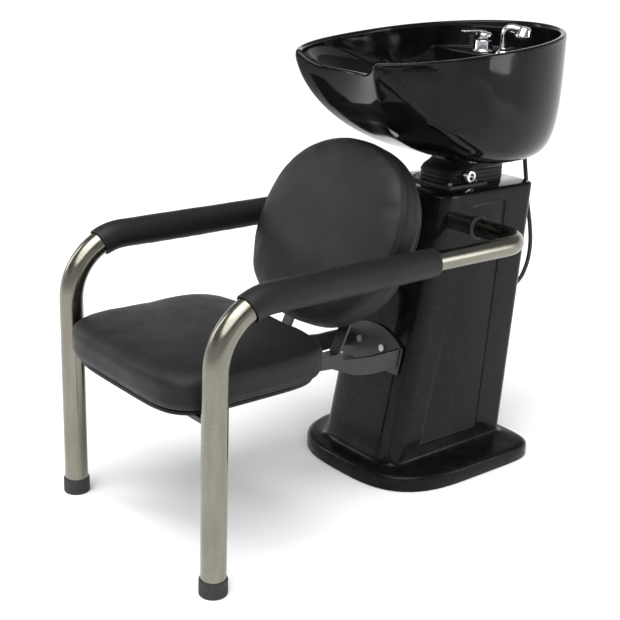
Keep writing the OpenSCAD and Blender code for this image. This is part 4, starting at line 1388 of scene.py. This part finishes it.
@dataclass
class ArmFrame:
    """One side of the chair: the bent front leg, the rear arm that turns in to the column, and the sleeve."""

    side: int
    leg_x: float = 265.5
    leg_y: float = -769
    bend_y: float = -641
    arm_z: float = 576
    leg_r: float = 25.4
    arm_r: float = 21.2
    leg_bend_r: float = 128
    arm_bend_r: float = 70
    arm_rear_y: float = 61
    pad_r: float = 30.5
    pad_bend: float = 27
    pad_rear_y: float = -230
    pad_edge: float = 2.5
    collar_in: float = 2

    @property
    def hand(self) -> str:
        """The name of this side.

        Returns:
            "left" or "right".
        """
        return "left" if self.side > 0 else "right"

    def placed(self, points: list) -> np.ndarray:
        """Points of this side in metres, with x mirrored on the right.

        Args:
            points: points of the left side in mm.

        Returns:
            The points of this side.
        """
        return np.array(points, float) * (self.side, 1, 1) * MM

    def bend(self, radius: float, first: float, count: int) -> list[tuple[float, float, float]]:
        """Points on the front bend's centre line.

        Args:
            radius: the bend's radius.
            first: the angle where it starts, 0 at the leg and 90 at the arm.
            count: how many points.

        Returns:
            Points from the leg's side to the arm's.
        """
        low = self.arm_z - self.leg_bend_r
        return [
            (self.leg_x, self.bend_y - radius * math.cos(t), low + radius * math.sin(t))
            for t in np.radians(np.linspace(first, 90, count))
        ]

    def leg(self) -> None:
        """The front leg: up from the foot, round the bend and back into the sleeve."""
        route = [(self.leg_x, self.leg_y, z) for z in np.linspace(6, self.arm_z - self.leg_bend_r - 8, 22)]
        route += self.bend(self.leg_bend_r, 0, 40)
        route += [(self.leg_x, y, self.arm_z) for y in np.linspace(self.bend_y + 8, -420, 10)]
        piece = swept(f"{self.hand}_leg_tube", self.placed(route), np.full(len(route), self.leg_r * MM), 64)
        dress(smooth(piece), TUBE, "frame", (f"{self.hand}_front_leg",))

    def rear_arm(self) -> None:
        """The rear arm: back from the sleeve and round into the column."""
        cx, turn = self.leg_x - self.arm_bend_r, self.arm_rear_y - self.arm_bend_r
        route = [(self.leg_x, y, self.arm_z) for y in np.linspace(-500, turn - 6, 26)]
        route += [
            (cx + self.arm_bend_r * math.cos(t), turn + self.arm_bend_r * math.sin(t), self.arm_z)
            for t in np.linspace(0, math.pi / 2, 32)
        ]
        route += [(x, self.arm_rear_y, self.arm_z) for x in np.linspace(cx - 6, 10, 10)]
        piece = swept(f"{self.hand}_arm_tube", self.placed(route), np.full(len(route), self.arm_r * MM), 64)
        dress(smooth(piece), TUBE, "frame", (f"{self.hand}_rear_arm",))

    def sleeve(self) -> None:
        """The foam sleeve in stitched vinyl: it starts on the bend, square to it, and sags a little below."""
        first = 90 - self.pad_bend
        route = self.bend(self.leg_bend_r, first, 24)
        route[1:1] = self.bend(self.leg_bend_r, first, 120)[1:5]
        route += [(self.leg_x, y, self.arm_z) for y in np.linspace(self.bend_y + 5, self.pad_rear_y - 3, 84)]
        route += [(self.leg_x, self.pad_rear_y - back, self.arm_z) for back in (2.2, 1.5, 0.8, 0.3, 0)]
        centre = self.placed(route)
        run = run_along(centre) / MM
        whole = run[-1]
        ends = np.minimum(run, whole - run)
        edge = self.pad_edge
        rounded = np.where(ends < edge, edge - np.sqrt(np.maximum(edge**2 - (edge - ends) ** 2, 0)), 0)
        outer = self.pad_r - rounded
        bore = np.where(run < whole - 195, self.leg_r + 0.5, self.arm_r + 0.5) + 2.2 * ease(1 - run / 12)
        turns = np.linspace(0, math.tau, 72, endpoint=False)
        across = np.array([1.0, 0, 0])
        ups = [np.cross(across, ahead) for ahead in headings(centre)]
        spokes = [np.outer(np.cos(turns), across) + np.outer(np.sin(turns), up) for up in ups]
        below = np.maximum(-np.sin(turns), 0)
        rings = []
        for i, place in enumerate(centre):
            off_seam = (turns - 1.5 * math.pi) * outer[i]
            sag = 1.6 * below**2 * math.sin(math.pi * run[i] / whole)
            seam = 1.3 * np.exp(-((off_seam / 1.6) ** 2))
            pull = 0.35 * np.sin(run[i] / 6.5) * np.exp(-((off_seam / 14) ** 2))
            slack = 0.3 * np.sin(run[i] / 23 + 2.1 * self.side) * np.sin(2 * turns + run[i] / 70)
            radius = (outer[i] + (sag - seam + pull + slack) * min(1, ends[i] / 8)) * MM
            rings.append(place + radius[:, None] * spokes[i])
        rings += [centre[i] + bore[i] * MM * spokes[i] for i in reversed(range(len(centre)))]
        piece = from_rings(f"{self.hand}_sleeve_vinyl", np.array(rings), loop=True)
        smooth(piece, 60)
        dress(piece, VINYL, "frame", (f"{self.hand}_arm_pad",))

    def foot(self) -> None:
        """The rubber foot: a ribbed cup with rounded edges."""
        outer, inner = self.leg_r + 3.2, self.leg_r + 0.05
        profile = [(0, 0), (outer - 1.6, 0), (outer - 0.5, 0.5), (outer, 1.6)]
        for z in (7, 12, 17):
            profile += [(outer, z), (outer - 0.7, z + 0.7), (outer - 0.7, z + 1.6), (outer, z + 2.3)]
        profile += [
            (outer, 30), (outer - 0.5, 32.4), (outer - 1.6, 34), (inner + 0.3, 34), (inner, 33), (inner, 6),
            (0, 6)
        ]
        piece = turned(
            f"{self.hand}_foot_rubber", profile,
            Matrix.Translation(self.placed([(self.leg_x, self.leg_y, 0)])[0]), 64, 0
        )
        dress(piece, RUBBER, "frame", (f"{self.hand}_foot_cap",))

    def collar(self) -> None:
        """The moulded grommet where the arm enters the column."""
        column = Pedestal()
        x = column.at((column.foot_hw, column.top_hw), self.arm_z) - self.collar_in
        r = self.arm_r + 0.3
        profile = [
            (r, -6), (r, 5), (r + 0.8, 6), (r + 2.6, 6), (r + 4.6, 5.2), (r + 7, 1.6), (r + 7.6, 0.4),
            (r + 1.6, 0.4), (r + 1.6, -6)
        ]
        place = Vector(self.placed([(x, self.arm_rear_y, self.arm_z)])[0])
        piece = turned(f"{self.hand}_arm_grommet", profile, frame_at(place, Vector((self.side, 0, 0))), 64, 0)
        dress(piece, RUBBER, "frame", (f"{self.hand}_arm_collar",))

    def build(self) -> None:
        """Builds this side's tubes, sleeve, foot and grommet."""
        self.leg()
        self.rear_arm()
        self.sleeve()
        self.foot()
        self.collar()


@dataclass
class Cushion:
    """A foam cushion in vinyl, in its own frame: cloth simulation swells it, then its seams are drawn in."""

    name: str
    node: str
    half_w: float
    half_l: float
    power: float
    thick: float
    crown: float
    back_in: float
    seam_in: float
    place: Matrix
    seams: tuple[tuple[float, float], ...]
    points: int = 120
    shrink: float = 3.0
    voxel: float = 6.0
    pressure: float = 4.0
    cloth_steps: int = 20
    cap: float = 5.0
    seam_w: float = 3.2

    def outline(self, inset: float, z: float) -> np.ndarray:
        """One level of the cushion, a squared oval drawn in by an inset.

        Args:
            inset: how far it is drawn in.
            z: its height.

        Returns:
            The level's points.
        """
        k = max(0.0, 1 - inset / min(self.half_w, self.half_l))
        p = 2 / (2 + (self.power - 2) * k)
        flat = squared_oval(self.half_w - inset, self.half_l - inset, p, p, self.points)
        return np.column_stack([flat, np.full(self.points, z)])

    def start(self) -> bpy.types.Object:
        """The slightly smaller cushion that is swollen.

        Returns:
            The closed, smaller cushion.
        """
        t, c = self.thick, self.crown
        sides = [
            (self.back_in + 14, 0), (self.back_in, 3), (self.seam_in, 10), (1, t * 0.3),
            (self.seam_in, t * 0.52)
        ]
        edge = [(0, t * 0.72), (3, t * 0.88), (11, t * 0.98)]
        top = [(24, t + c * 0.28), (50, t + c * 0.6), (90, t + c * 0.85), (140, t + c)]
        levels = curve_points([(inset, z, 0) for inset, z in sides + edge + top], 5)
        low = self.shrink * 0.6
        rows = [self.outline(inset + self.shrink, max(z, 0.0) - low * ease(z / t)) for inset, z, _ in levels]
        return from_rings(self.name, np.array(rows) * MM)

    def swell(self, piece: bpy.types.Object) -> None:
        """Inflates the remeshed cushion with the cloth solver, no point further than the cap.

        Args:
            piece: the remeshed cushion.
        """
        count = len(piece.data.vertices)
        before, after = np.empty(count * 3), np.empty(count * 3)
        piece.data.vertices.foreach_get("co", before)
        cloth = piece.modifiers.new("swelling", "CLOTH")
        cloth.settings.use_pressure = True
        cloth.settings.uniform_pressure_force = self.pressure
        cloth.settings.effector_weights.gravity = 0.0
        for step in range(1, self.cloth_steps + 1):
            bpy.context.scene.frame_set(step)
        activate(piece)
        bpy.ops.object.modifier_apply(modifier=cloth.name)
        bpy.context.scene.frame_set(1)
        piece.data.vertices.foreach_get("co", after)
        move = (after - before).reshape(-1, 3)
        length = np.linalg.norm(move, axis=1)[:, None]
        move *= np.minimum(1, self.cap * MM / np.maximum(length, 1e-9))
        piece.data.vertices.foreach_set("co", (before.reshape(-1, 3) + move).ravel())

    def draw_seams(self, piece: bpy.types.Object) -> None:
        """Draws the side in along each seam and flattens the back against its board.

        Args:
            piece: the swollen cushion.
        """
        count = len(piece.data.vertices)
        flat = np.empty(count * 3)
        piece.data.vertices.foreach_get("co", flat)
        points = flat.reshape(-1, 3) / MM
        share = np.maximum(np.abs(points[:, 0]) / self.half_w, np.abs(points[:, 1]) / self.half_l)
        side = ease((share - 0.62) / 0.25)
        for height, depth in self.seams:
            groove = depth * np.exp(-(((points[:, 2] - height) / self.seam_w) ** 2)) * side
            out = np.linalg.norm(points[:, :2], axis=1)[:, None].clip(1)
            points[:, :2] -= points[:, :2] / out * groove[:, None]
        points[:, 2] = np.maximum(points[:, 2], 0.4)
        for axis, half in enumerate((self.half_w, self.half_l)):
            points[:, axis] = np.clip(points[:, axis], -half - 3, half + 3)
        piece.data.vertices.foreach_set("co", (points * MM).ravel())
        piece.data.update()

    def build(self) -> None:
        """Builds the cushion and dresses it."""
        piece = self.start()
        apply_modifier(piece, "REMESH", mode="VOXEL", voxel_size=self.voxel * MM)
        self.swell(piece)
        apply_modifier(piece, "SMOOTH", factor=0.5, iterations=14)
        apply_modifier(piece, "SUBSURF", levels=1, render_levels=1)
        self.draw_seams(piece)
        settle(piece, self.place)
        smooth(piece, 180)
        dress(piece, VINYL, "frame", (self.node,))


@dataclass
class ChairPads:
    """The seat, the back and the covered board behind it."""

    seat_z: float = 356
    seat_front: float = -839
    seat_l: float = 415
    back_y: float = -306
    back_z: float = 602
    back_lean: float = 25
    back_t: float = 72
    seat_board_t: float = 10
    back_board_t: float = 12

    def back_frame(self, behind: float) -> Matrix:
        """The leaning frame of the back: its own z points forwards and its y upwards.

        Args:
            behind: how far the frame lies behind the back's face.

        Returns:
            The matrix in metres.
        """
        lean = Matrix.Rotation(math.radians(-self.back_lean), 4, "X")
        turn = Matrix.Rotation(math.radians(90), 4, "X")
        return shift(0, self.back_y, self.back_z) @ lean @ shift(0, behind, 0) @ turn

    def board(
        self, name: str, node: str, oval: tuple[float, float, float], thick: float, place: Matrix
    ) -> None:
        """A cushion's board, wrapped in the same vinyl with soft edges.

        Args:
            name: the piece's name.
            node: the CAD node that it stands for.
            oval: its half width, half length and squareness.
            thick: its thickness.
            place: its frame, in metres.
        """
        cover = Cushion(name, node, *oval, thick, 0, 0, 0, place, ())
        levels = ((6, 0), (3, 0.2), (1, 1.2), (0, 3), (0, thick - 3), (1, thick - 1), (3, thick))
        rows = [cover.outline(inset, z) for inset, z in levels]
        piece = from_rings(name, np.array(rows) * MM)
        settle(piece, place)
        smooth(piece, 50)
        dress(piece, VINYL, "frame", (node,))

    def build(self) -> None:
        """Builds the seat, the back and its board."""
        seat = shift(0, self.seat_front + self.seat_l / 2, self.seat_z)
        back, t = self.back_frame(self.back_t), self.back_t
        seat_oval, back_oval = (236, self.seat_l / 2, 5), (231, 216, 2.25)
        Cushion("seat_vinyl", "seat_cushion", *seat_oval, t, 12, 12, 2, seat, ((14, 1.4), (60, 0.5))).build()
        Cushion("back_vinyl", "back_cushion", *back_oval, t, 14, 10, 2, back, ((12, 1.4), (62, 1.6))).build()
        board, t = (210, self.seat_l / 2 - 22, 5), self.seat_board_t
        self.board("seat_board_cover", "seat_board", board, t, seat @ shift(0, 0, -t))
        board, t = (207, 192, 2.25), self.back_board_t
        self.board("back_board_cover", "back_board", board, t, self.back_frame(self.back_t + t))


# ---------------------------------------------------------------- hoses and fittings


@dataclass
class Hoses:
    """The spray hose that hangs behind the column, and the waste and water hoses inside it."""

    column_h: float = 662
    gland: float = 225.5
    grommet_z: float = 398
    tap_z: float = 945
    spray_x: float = 80
    spray_r: float = 5
    waste_r: float = 17.5
    water_r: float = 4.5
    bend_top: float = 660
    bend_foot: float = 400

    def tube(
        self, node: str, points: list[tuple[float, float, float]], radius: float, steps: int = 6
    ) -> tuple:
        """One hose along a smooth route.

        Args:
            node: the CAD node that it stands for.
            points: its route from the basin down.
            radius: its radius.
            steps: how many samples each stretch of the route gets.

        Returns:
            The hose and its centre line in metres.
        """
        route = curve_points(points, steps) * MM
        return smooth(swept(f"{node}_tube", route, np.full(len(route), radius * MM), 24)), route

    def spray(self) -> None:
        """The free spray hose: from the hand spray down through the basin and back into the column."""
        x, h = self.spray_x, self.column_h
        points = [
            (14, 214, h + 195.7), (14, 214, h + 178), (20, 218, h + 150), (40, 230, h + 124),
            (66, 241, h + 106)
        ]
        points += [(x, 244, h + 90), (x, 244, h + 74), (x, 244, h + 56), (x, 249, h + 28)]
        loop = ((258, 0.982), (269, 0.906), (284, 0.828), (293, 0.755), (290, 0.687), (273, 0.63))
        points += [(x, y, share * h) for y, share in loop]
        points += [(x, self.gland + y, self.grommet_z + z) for y, z in ((22, 0), (8, -1), (-3, 0))]
        piece, route = self.tube("spray_hose", points, self.spray_r, 8)
        dress(piece, RUBBER, "", ("spray_hose",))
        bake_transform(piece)

    def inner(
        self, node: str, points: list[tuple[float, float, float]], radius: float, finish: Finish
    ) -> None:
        """One hose inside the column, from the basin down.

        Args:
            node: the CAD node that it stands for.
            points: its route from the basin down.
            radius: its radius.
            finish: its finish.
        """
        piece, _ = self.tube(node, points, radius)
        dress(piece, finish, "", (node,))
        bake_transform(piece)

    def build(self) -> None:
        """Builds the spray hose first, then the three inside."""
        self.spray()
        h, tap = self.column_h, self.tap_z - 24.3
        waste = [
            (0, 136, 697.7), (0, 136, h + 18), (0, 136, 0.967 * h), (0, 140, 0.846 * h), (0, 146, 0.665 * h)
        ]
        waste += [(0, 148, 0.483 * h), (0, 148, 0.332 * h), (0, 148, 160), (0, 148, 140)]
        hot = [
            (-57.5, 214, tap), (-58, 215, h + 218), (-60, 222, h + 168), (-58, 217, h + 128),
            (-53, 196, h + 106)
        ]
        hot += [
            (-46, 172, h + 84), (-34, 140, h + 52), (-34, 138, h), (-44, 144, 0.906 * h),
            (-56, 158, 0.755 * h)
        ]
        cold = [
            (-46.5, 214, tap), (-46, 215, h + 218), (-43, 222, h + 168), (-41, 218, h + 128),
            (-38, 204, h + 106)
        ]
        cold += [
            (-31, 182, h + 82), (-23, 160, h + 52), (-23, 160, h), (-12, 178, 0.929 * h), (20, 188, 0.846 * h)
        ]
        cold.append((50, 176, 0.74 * h))
        for side, points in ((-1, hot), (1, cold)):
            points += [(58 * side, 165, z) for z in (0.604 * h, 0.393 * h, 115)]
        self.inner("waste_hose", waste, self.waste_r, RUBBER)
        self.inner("hot_hose", hot, self.water_r, BRAID)
        self.inner("cold_hose", cold, self.water_r, BRAID)


@dataclass
class Taps:
    """The mixer with its lever and the hand spray in its holder, on the deck behind the bowl."""

    mixer: tuple[float, float] = (-52, 214)
    holder: tuple[float, float] = (14, 214)
    deck_z: float = 945
    body_h: float = 27
    lever_up: float = 11
    head_up: float = 62
    spray_turn: float = 40
    spray_tip: float = 10
    neck_bend: float = 16
    bell_reach: float = 44

    def build_mixer(self) -> None:
        """The mixer's body, its domed cap and the paddle lever."""
        body = [
            (0, -24), (11, -24), (11, 0), (26.4, 0), (27, 0.7), (27, 2.6), (25.8, 4.2), (23.6, 4.8),
            (22.8, 6.5)
        ]
        body += [(21.4, 25.6), (20.6, 26.6), (12, 26.7), (12, 31), (0, 31)]
        piece = turned("mixer_body_chrome", body, shift(*self.mixer, self.deck_z), 64)
        dress(piece, CHROME, "basin", ("mixer_body",))
        place = shift(*self.mixer, self.deck_z + self.body_h + 0.3)
        cap = [(12.05, 0), (20.2, 0), (21, 0.8), (20.6, 6), (19.8, 11), (18.2, 14.6), (15.2, 16.5), (8, 17.3)]
        cap += [(0, 17.4), (0, 4), (12.05, 4), (12.05, 4)]
        piece = turned("mixer_cap_chrome", cap, place, 64)
        slit = blocks("slit", [(Vector((-6.4, -30, 5)) * MM, Vector((6.4, 30, 25)) * MM)])
        settle(slit, place)
        cut(piece, slit)
        smooth(piece, 40)
        dress(piece, CHROME, "mixer_cap", ("mixer_cap",))
        self.build_lever(place @ shift(0, 0, self.lever_up))

    def build_lever(self, place: Matrix) -> None:
        """The lever: a hub in the cap's slit and a paddle that widens and lifts towards its end.

        Args:
            place: where its pin goes.
        """
        hub = [(8, 2.5, 3.6, 3.4), (7.4, 2.8, 5.0, 4.8), (5, 3, 5.8, 6.0), (-2, 4, 6, 6.0), (-8, 7.4, 6, 3.6)]
        paddle = [(-16, 8.5, 6, 2.7), (-30, 8.8, 6.3, 2.4), (-46, 9.2, 7.4, 2.3), (-58, 9.7, 8.6, 2.2)]
        tip = [(-66, 10.1, 8.4, 2.1), (-70.5, 10.3, 6.6, 1.8), (-72, 10.4, 4.2, 1.2)]
        rows = []
        for y, up, half_w, half_t in hub + paddle + tip:
            x, z = squared_oval(half_w, half_t, 0.5, 0.7, 32).T
            rows.append(np.column_stack([x, np.full(32, y), up + z]))
        piece = from_rings("mixer_lever_chrome", np.array(rows) * MM)
        settle(piece, place)
        apply_modifier(piece, "SUBSURF", levels=1, render_levels=1)
        smooth(piece, 50)
        dress(piece, CHROME, "mixer_lever", ("mixer_lever",))

    def build_holder(self) -> None:
        """The holder: a stepped sleeve through the deck."""
        bore = 10.05
        profile = [(bore, -27), (13, -27), (13, 0), (18.4, 0), (19, 0.7), (19, 2.2), (17.6, 3.4), (16.4, 6.6)]
        profile += [(15.6, 8), (11.4, 8), (bore, 7)]
        piece = turned("spray_holder_chrome", profile, shift(*self.holder, self.deck_z), 64)
        dress(piece, CHROME, "basin", ("spray_holder",))

    def build_spray(self) -> None:
        """The hand spray: a waisted stem, a bent neck and a bell head."""
        tip, turn = math.radians(self.spray_tip), math.radians(self.spray_turn)
        ahead = Vector((math.cos(tip) * math.cos(turn), math.cos(tip) * math.sin(turn), -math.sin(tip)))
        base = Vector((*self.holder, self.deck_z))
        head = base + Vector((0, 0, self.head_up))
        stem = [(-87, 5), (-40, 5), (-39, 7.5), (-27.2, 7.5), (-27, 9.6), (8.2, 9.6), (8.4, 12), (13.6, 12)]
        stem += [(14.4, 10.6), (28, 9.2), (42, 9.3)]
        route = [(base + Vector((0, 0, up)), radius) for up, radius in stem]
        for t in np.linspace(0, math.pi / 2, 12)[1:]:
            forward, up = self.neck_bend * (1 - math.cos(t)), self.neck_bend * (math.sin(t) - 1)
            route.append((head + ahead * forward + Vector((0, 0, up)), 9.4 + 0.6 * t))
        route += [(head + ahead * reach, radius) for reach, radius in ((24, 10.4), (32, 10.4), (38, 8))]
        line = np.array([tuple(place) for place, _ in route]) * MM
        piece = swept("spray_stem", line, np.array([radius for _, radius in route]) * MM, 48)
        bell = [
            (0, 10.4), (7, 10.2), (11, 9.2), (13.4, 7.2), (15.2, 3.4), (17.6, -3), (20.2, -9.4), (21, -12)
        ]
        bell += [(20.8, -13.4), (20.2, -14), (0, -14)]
        lean = Matrix.Rotation(turn, 4, "Z") @ Matrix.Rotation(tip, 4, "Y") @ shift(self.bell_reach, 0, 0)
        bell = turned("spray_bell", bell, shift(*head) @ lean, 64, 0)
        smooth(piece, 40)
        activate(piece)
        bell.select_set(True)
        bpy.ops.object.join()
        piece.name = "hand_spray_chrome"
        dress(piece, CHROME, "hand_spray", ("spray_head",))

    def build(self) -> None:
        """Builds the mixer, the holder and the hand spray."""
        self.build_mixer()
        self.build_holder()
        self.build_spray()


@dataclass
class SmallFittings:
    """The drain flange and the lock knob."""

    waste_y: float = 136
    floor_z: float = 802
    pin: tuple[float, float, float] = (61.8, 68, 684)
    flutes: int = 12
    flute_r: float = 1.9
    flute_out: float = 15.6

    def drain(self) -> None:
        """The drain flange with its rolled edge."""
        profile = [
            (19, -40), (21.5, -40), (21.5, 0.1), (34.6, 0.1), (35, 0.6), (34.2, 1.8), (32.4, 2.5), (24, 2.2)
        ]
        profile += [(20.4, 1.4), (19, 0)]
        piece = turned("drain_flange_chrome", profile, shift(0, self.waste_y, self.floor_z), 72)
        dress(piece, CHROME, "basin", ("drain_flange",))

    def knob(self) -> None:
        """The lock knob: a fluted hand wheel on the end of the tilt pin."""
        profile = [(8.1, 0), (10.4, 0), (11, 0.6), (11, 3.6), (13.4, 4), (15, 5.4), (15, 15.6), (13.6, 17.4)]
        profile += [(11, 18), (8.1, 18)]
        place = shift(*self.pin) @ Matrix.Rotation(math.pi / 2, 4, "Y")
        piece = turned("lock_knob_chrome", profile, place, 72, 0)
        x, y, z = self.pin
        for a in np.arange(self.flutes) * math.tau / self.flutes:
            start = Vector((x + 0.2, y + self.flute_out * math.cos(a), z + self.flute_out * math.sin(a))) * MM
            cut(piece, rod("flute", start, Vector((1, 0, 0)), self.flute_r, 30, 20))
        smooth(piece, 30)
        dress(piece, CHROME, "lock_knob", ("tilt_lock_knob",))

    def build(self) -> None:
        """Builds the drain flange and the knob."""
        self.drain()
        self.knob()


@dataclass
class NeckGaiter:
    """The soft rubber gaiter that closes the gap between the column and the basin's collar."""

    waste_y: float = 136
    foot_z: float = 662
    top_z: float = 712
    collar_r: float = 81.6
    half_w: float = 63.4
    front_y: float = 20
    rear_y: float = 214
    points: int = 96
    wall: float = 1.6
    fold_depth: float = 1.5

    def level(self, share: float, fold: float) -> np.ndarray:
        """One level between the long oval foot and the round collar.

        Args:
            share: 0 at the foot, 1 at the collar.
            fold: how far the level stands out.

        Returns:
            The level's points.
        """
        middle, half_l = (self.front_y + self.rear_y) / 2, (self.rear_y - self.front_y) / 2
        oval = squared_oval(self.half_w, half_l, 0.55, 0.55, self.points) + (0, middle)
        collar = squared_oval(self.collar_r, self.collar_r, 1, 1, self.points) + (0, self.waste_y)
        flat = oval + (collar - oval) * float(ease((share - 0.55) / 0.45))
        away = flat - (0, (middle + self.waste_y) / 2)
        flat = flat + away / np.linalg.norm(away, axis=1)[:, None] * fold
        return np.column_stack([flat, np.full(self.points, self.foot_z + (self.top_z - self.foot_z) * share)])

    def build(self) -> None:
        """Builds the gaiter as a thin double wall with two folds."""
        shares = np.linspace(0, 1, 41)
        waves = np.sin(shares * math.tau * 2.5) ** 2
        folds = self.fold_depth * waves * (1 - shares**8) * np.minimum(1, shares * 8)
        rows = [self.level(share, fold) for share, fold in zip(shares, folds)]
        rows += [self.level(share, fold - self.wall) for share, fold in zip(shares[::-1], folds[::-1])]
        piece = from_rings("neck_gaiter", np.array(rows) * MM, loop=True)
        smooth(piece, 60)
        dress(piece, RUBBER, "")
        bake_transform(piece)


@dataclass
class CadFinishes:
    """Finishes for the CAD nodes that stay as they are."""

    def build(self) -> None:
        """Gives each shown CAD node the finish of its material slot."""
        finishes = {finish.slot: finish for finish in FINISHES}
        slots = {part["node"]: part["material_slot"] for part in frame["record"]["subparts"]}
        for node, piece in frame["nodes"].items():
            if piece.hide_render:
                continue
            finish = ZINC if "screw" in node or "bolt" in node else finishes[slots[node]]
            piece.data.materials.clear()
            piece.data.materials.append(finish.material())
            LOG.info("node %s: %s", node, finish.name)


def main() -> None:
    """Builds the scene, piece by piece."""
    logging.basicConfig(level=logging.INFO, format="%(name)s: %(message)s")
    studio = Studio()
    studio.camera()
    Hoses().build()
    studio.floor()
    studio.light()
    Basin().build()
    Pedestal().build()
    for side in (1, -1):
        ArmFrame(side).build()
    ChairPads().build()
    Taps().build()
    SmallFittings().build()
    NeckGaiter().build()
    CadFinishes().build()


if __name__ == "__main__":
    main()
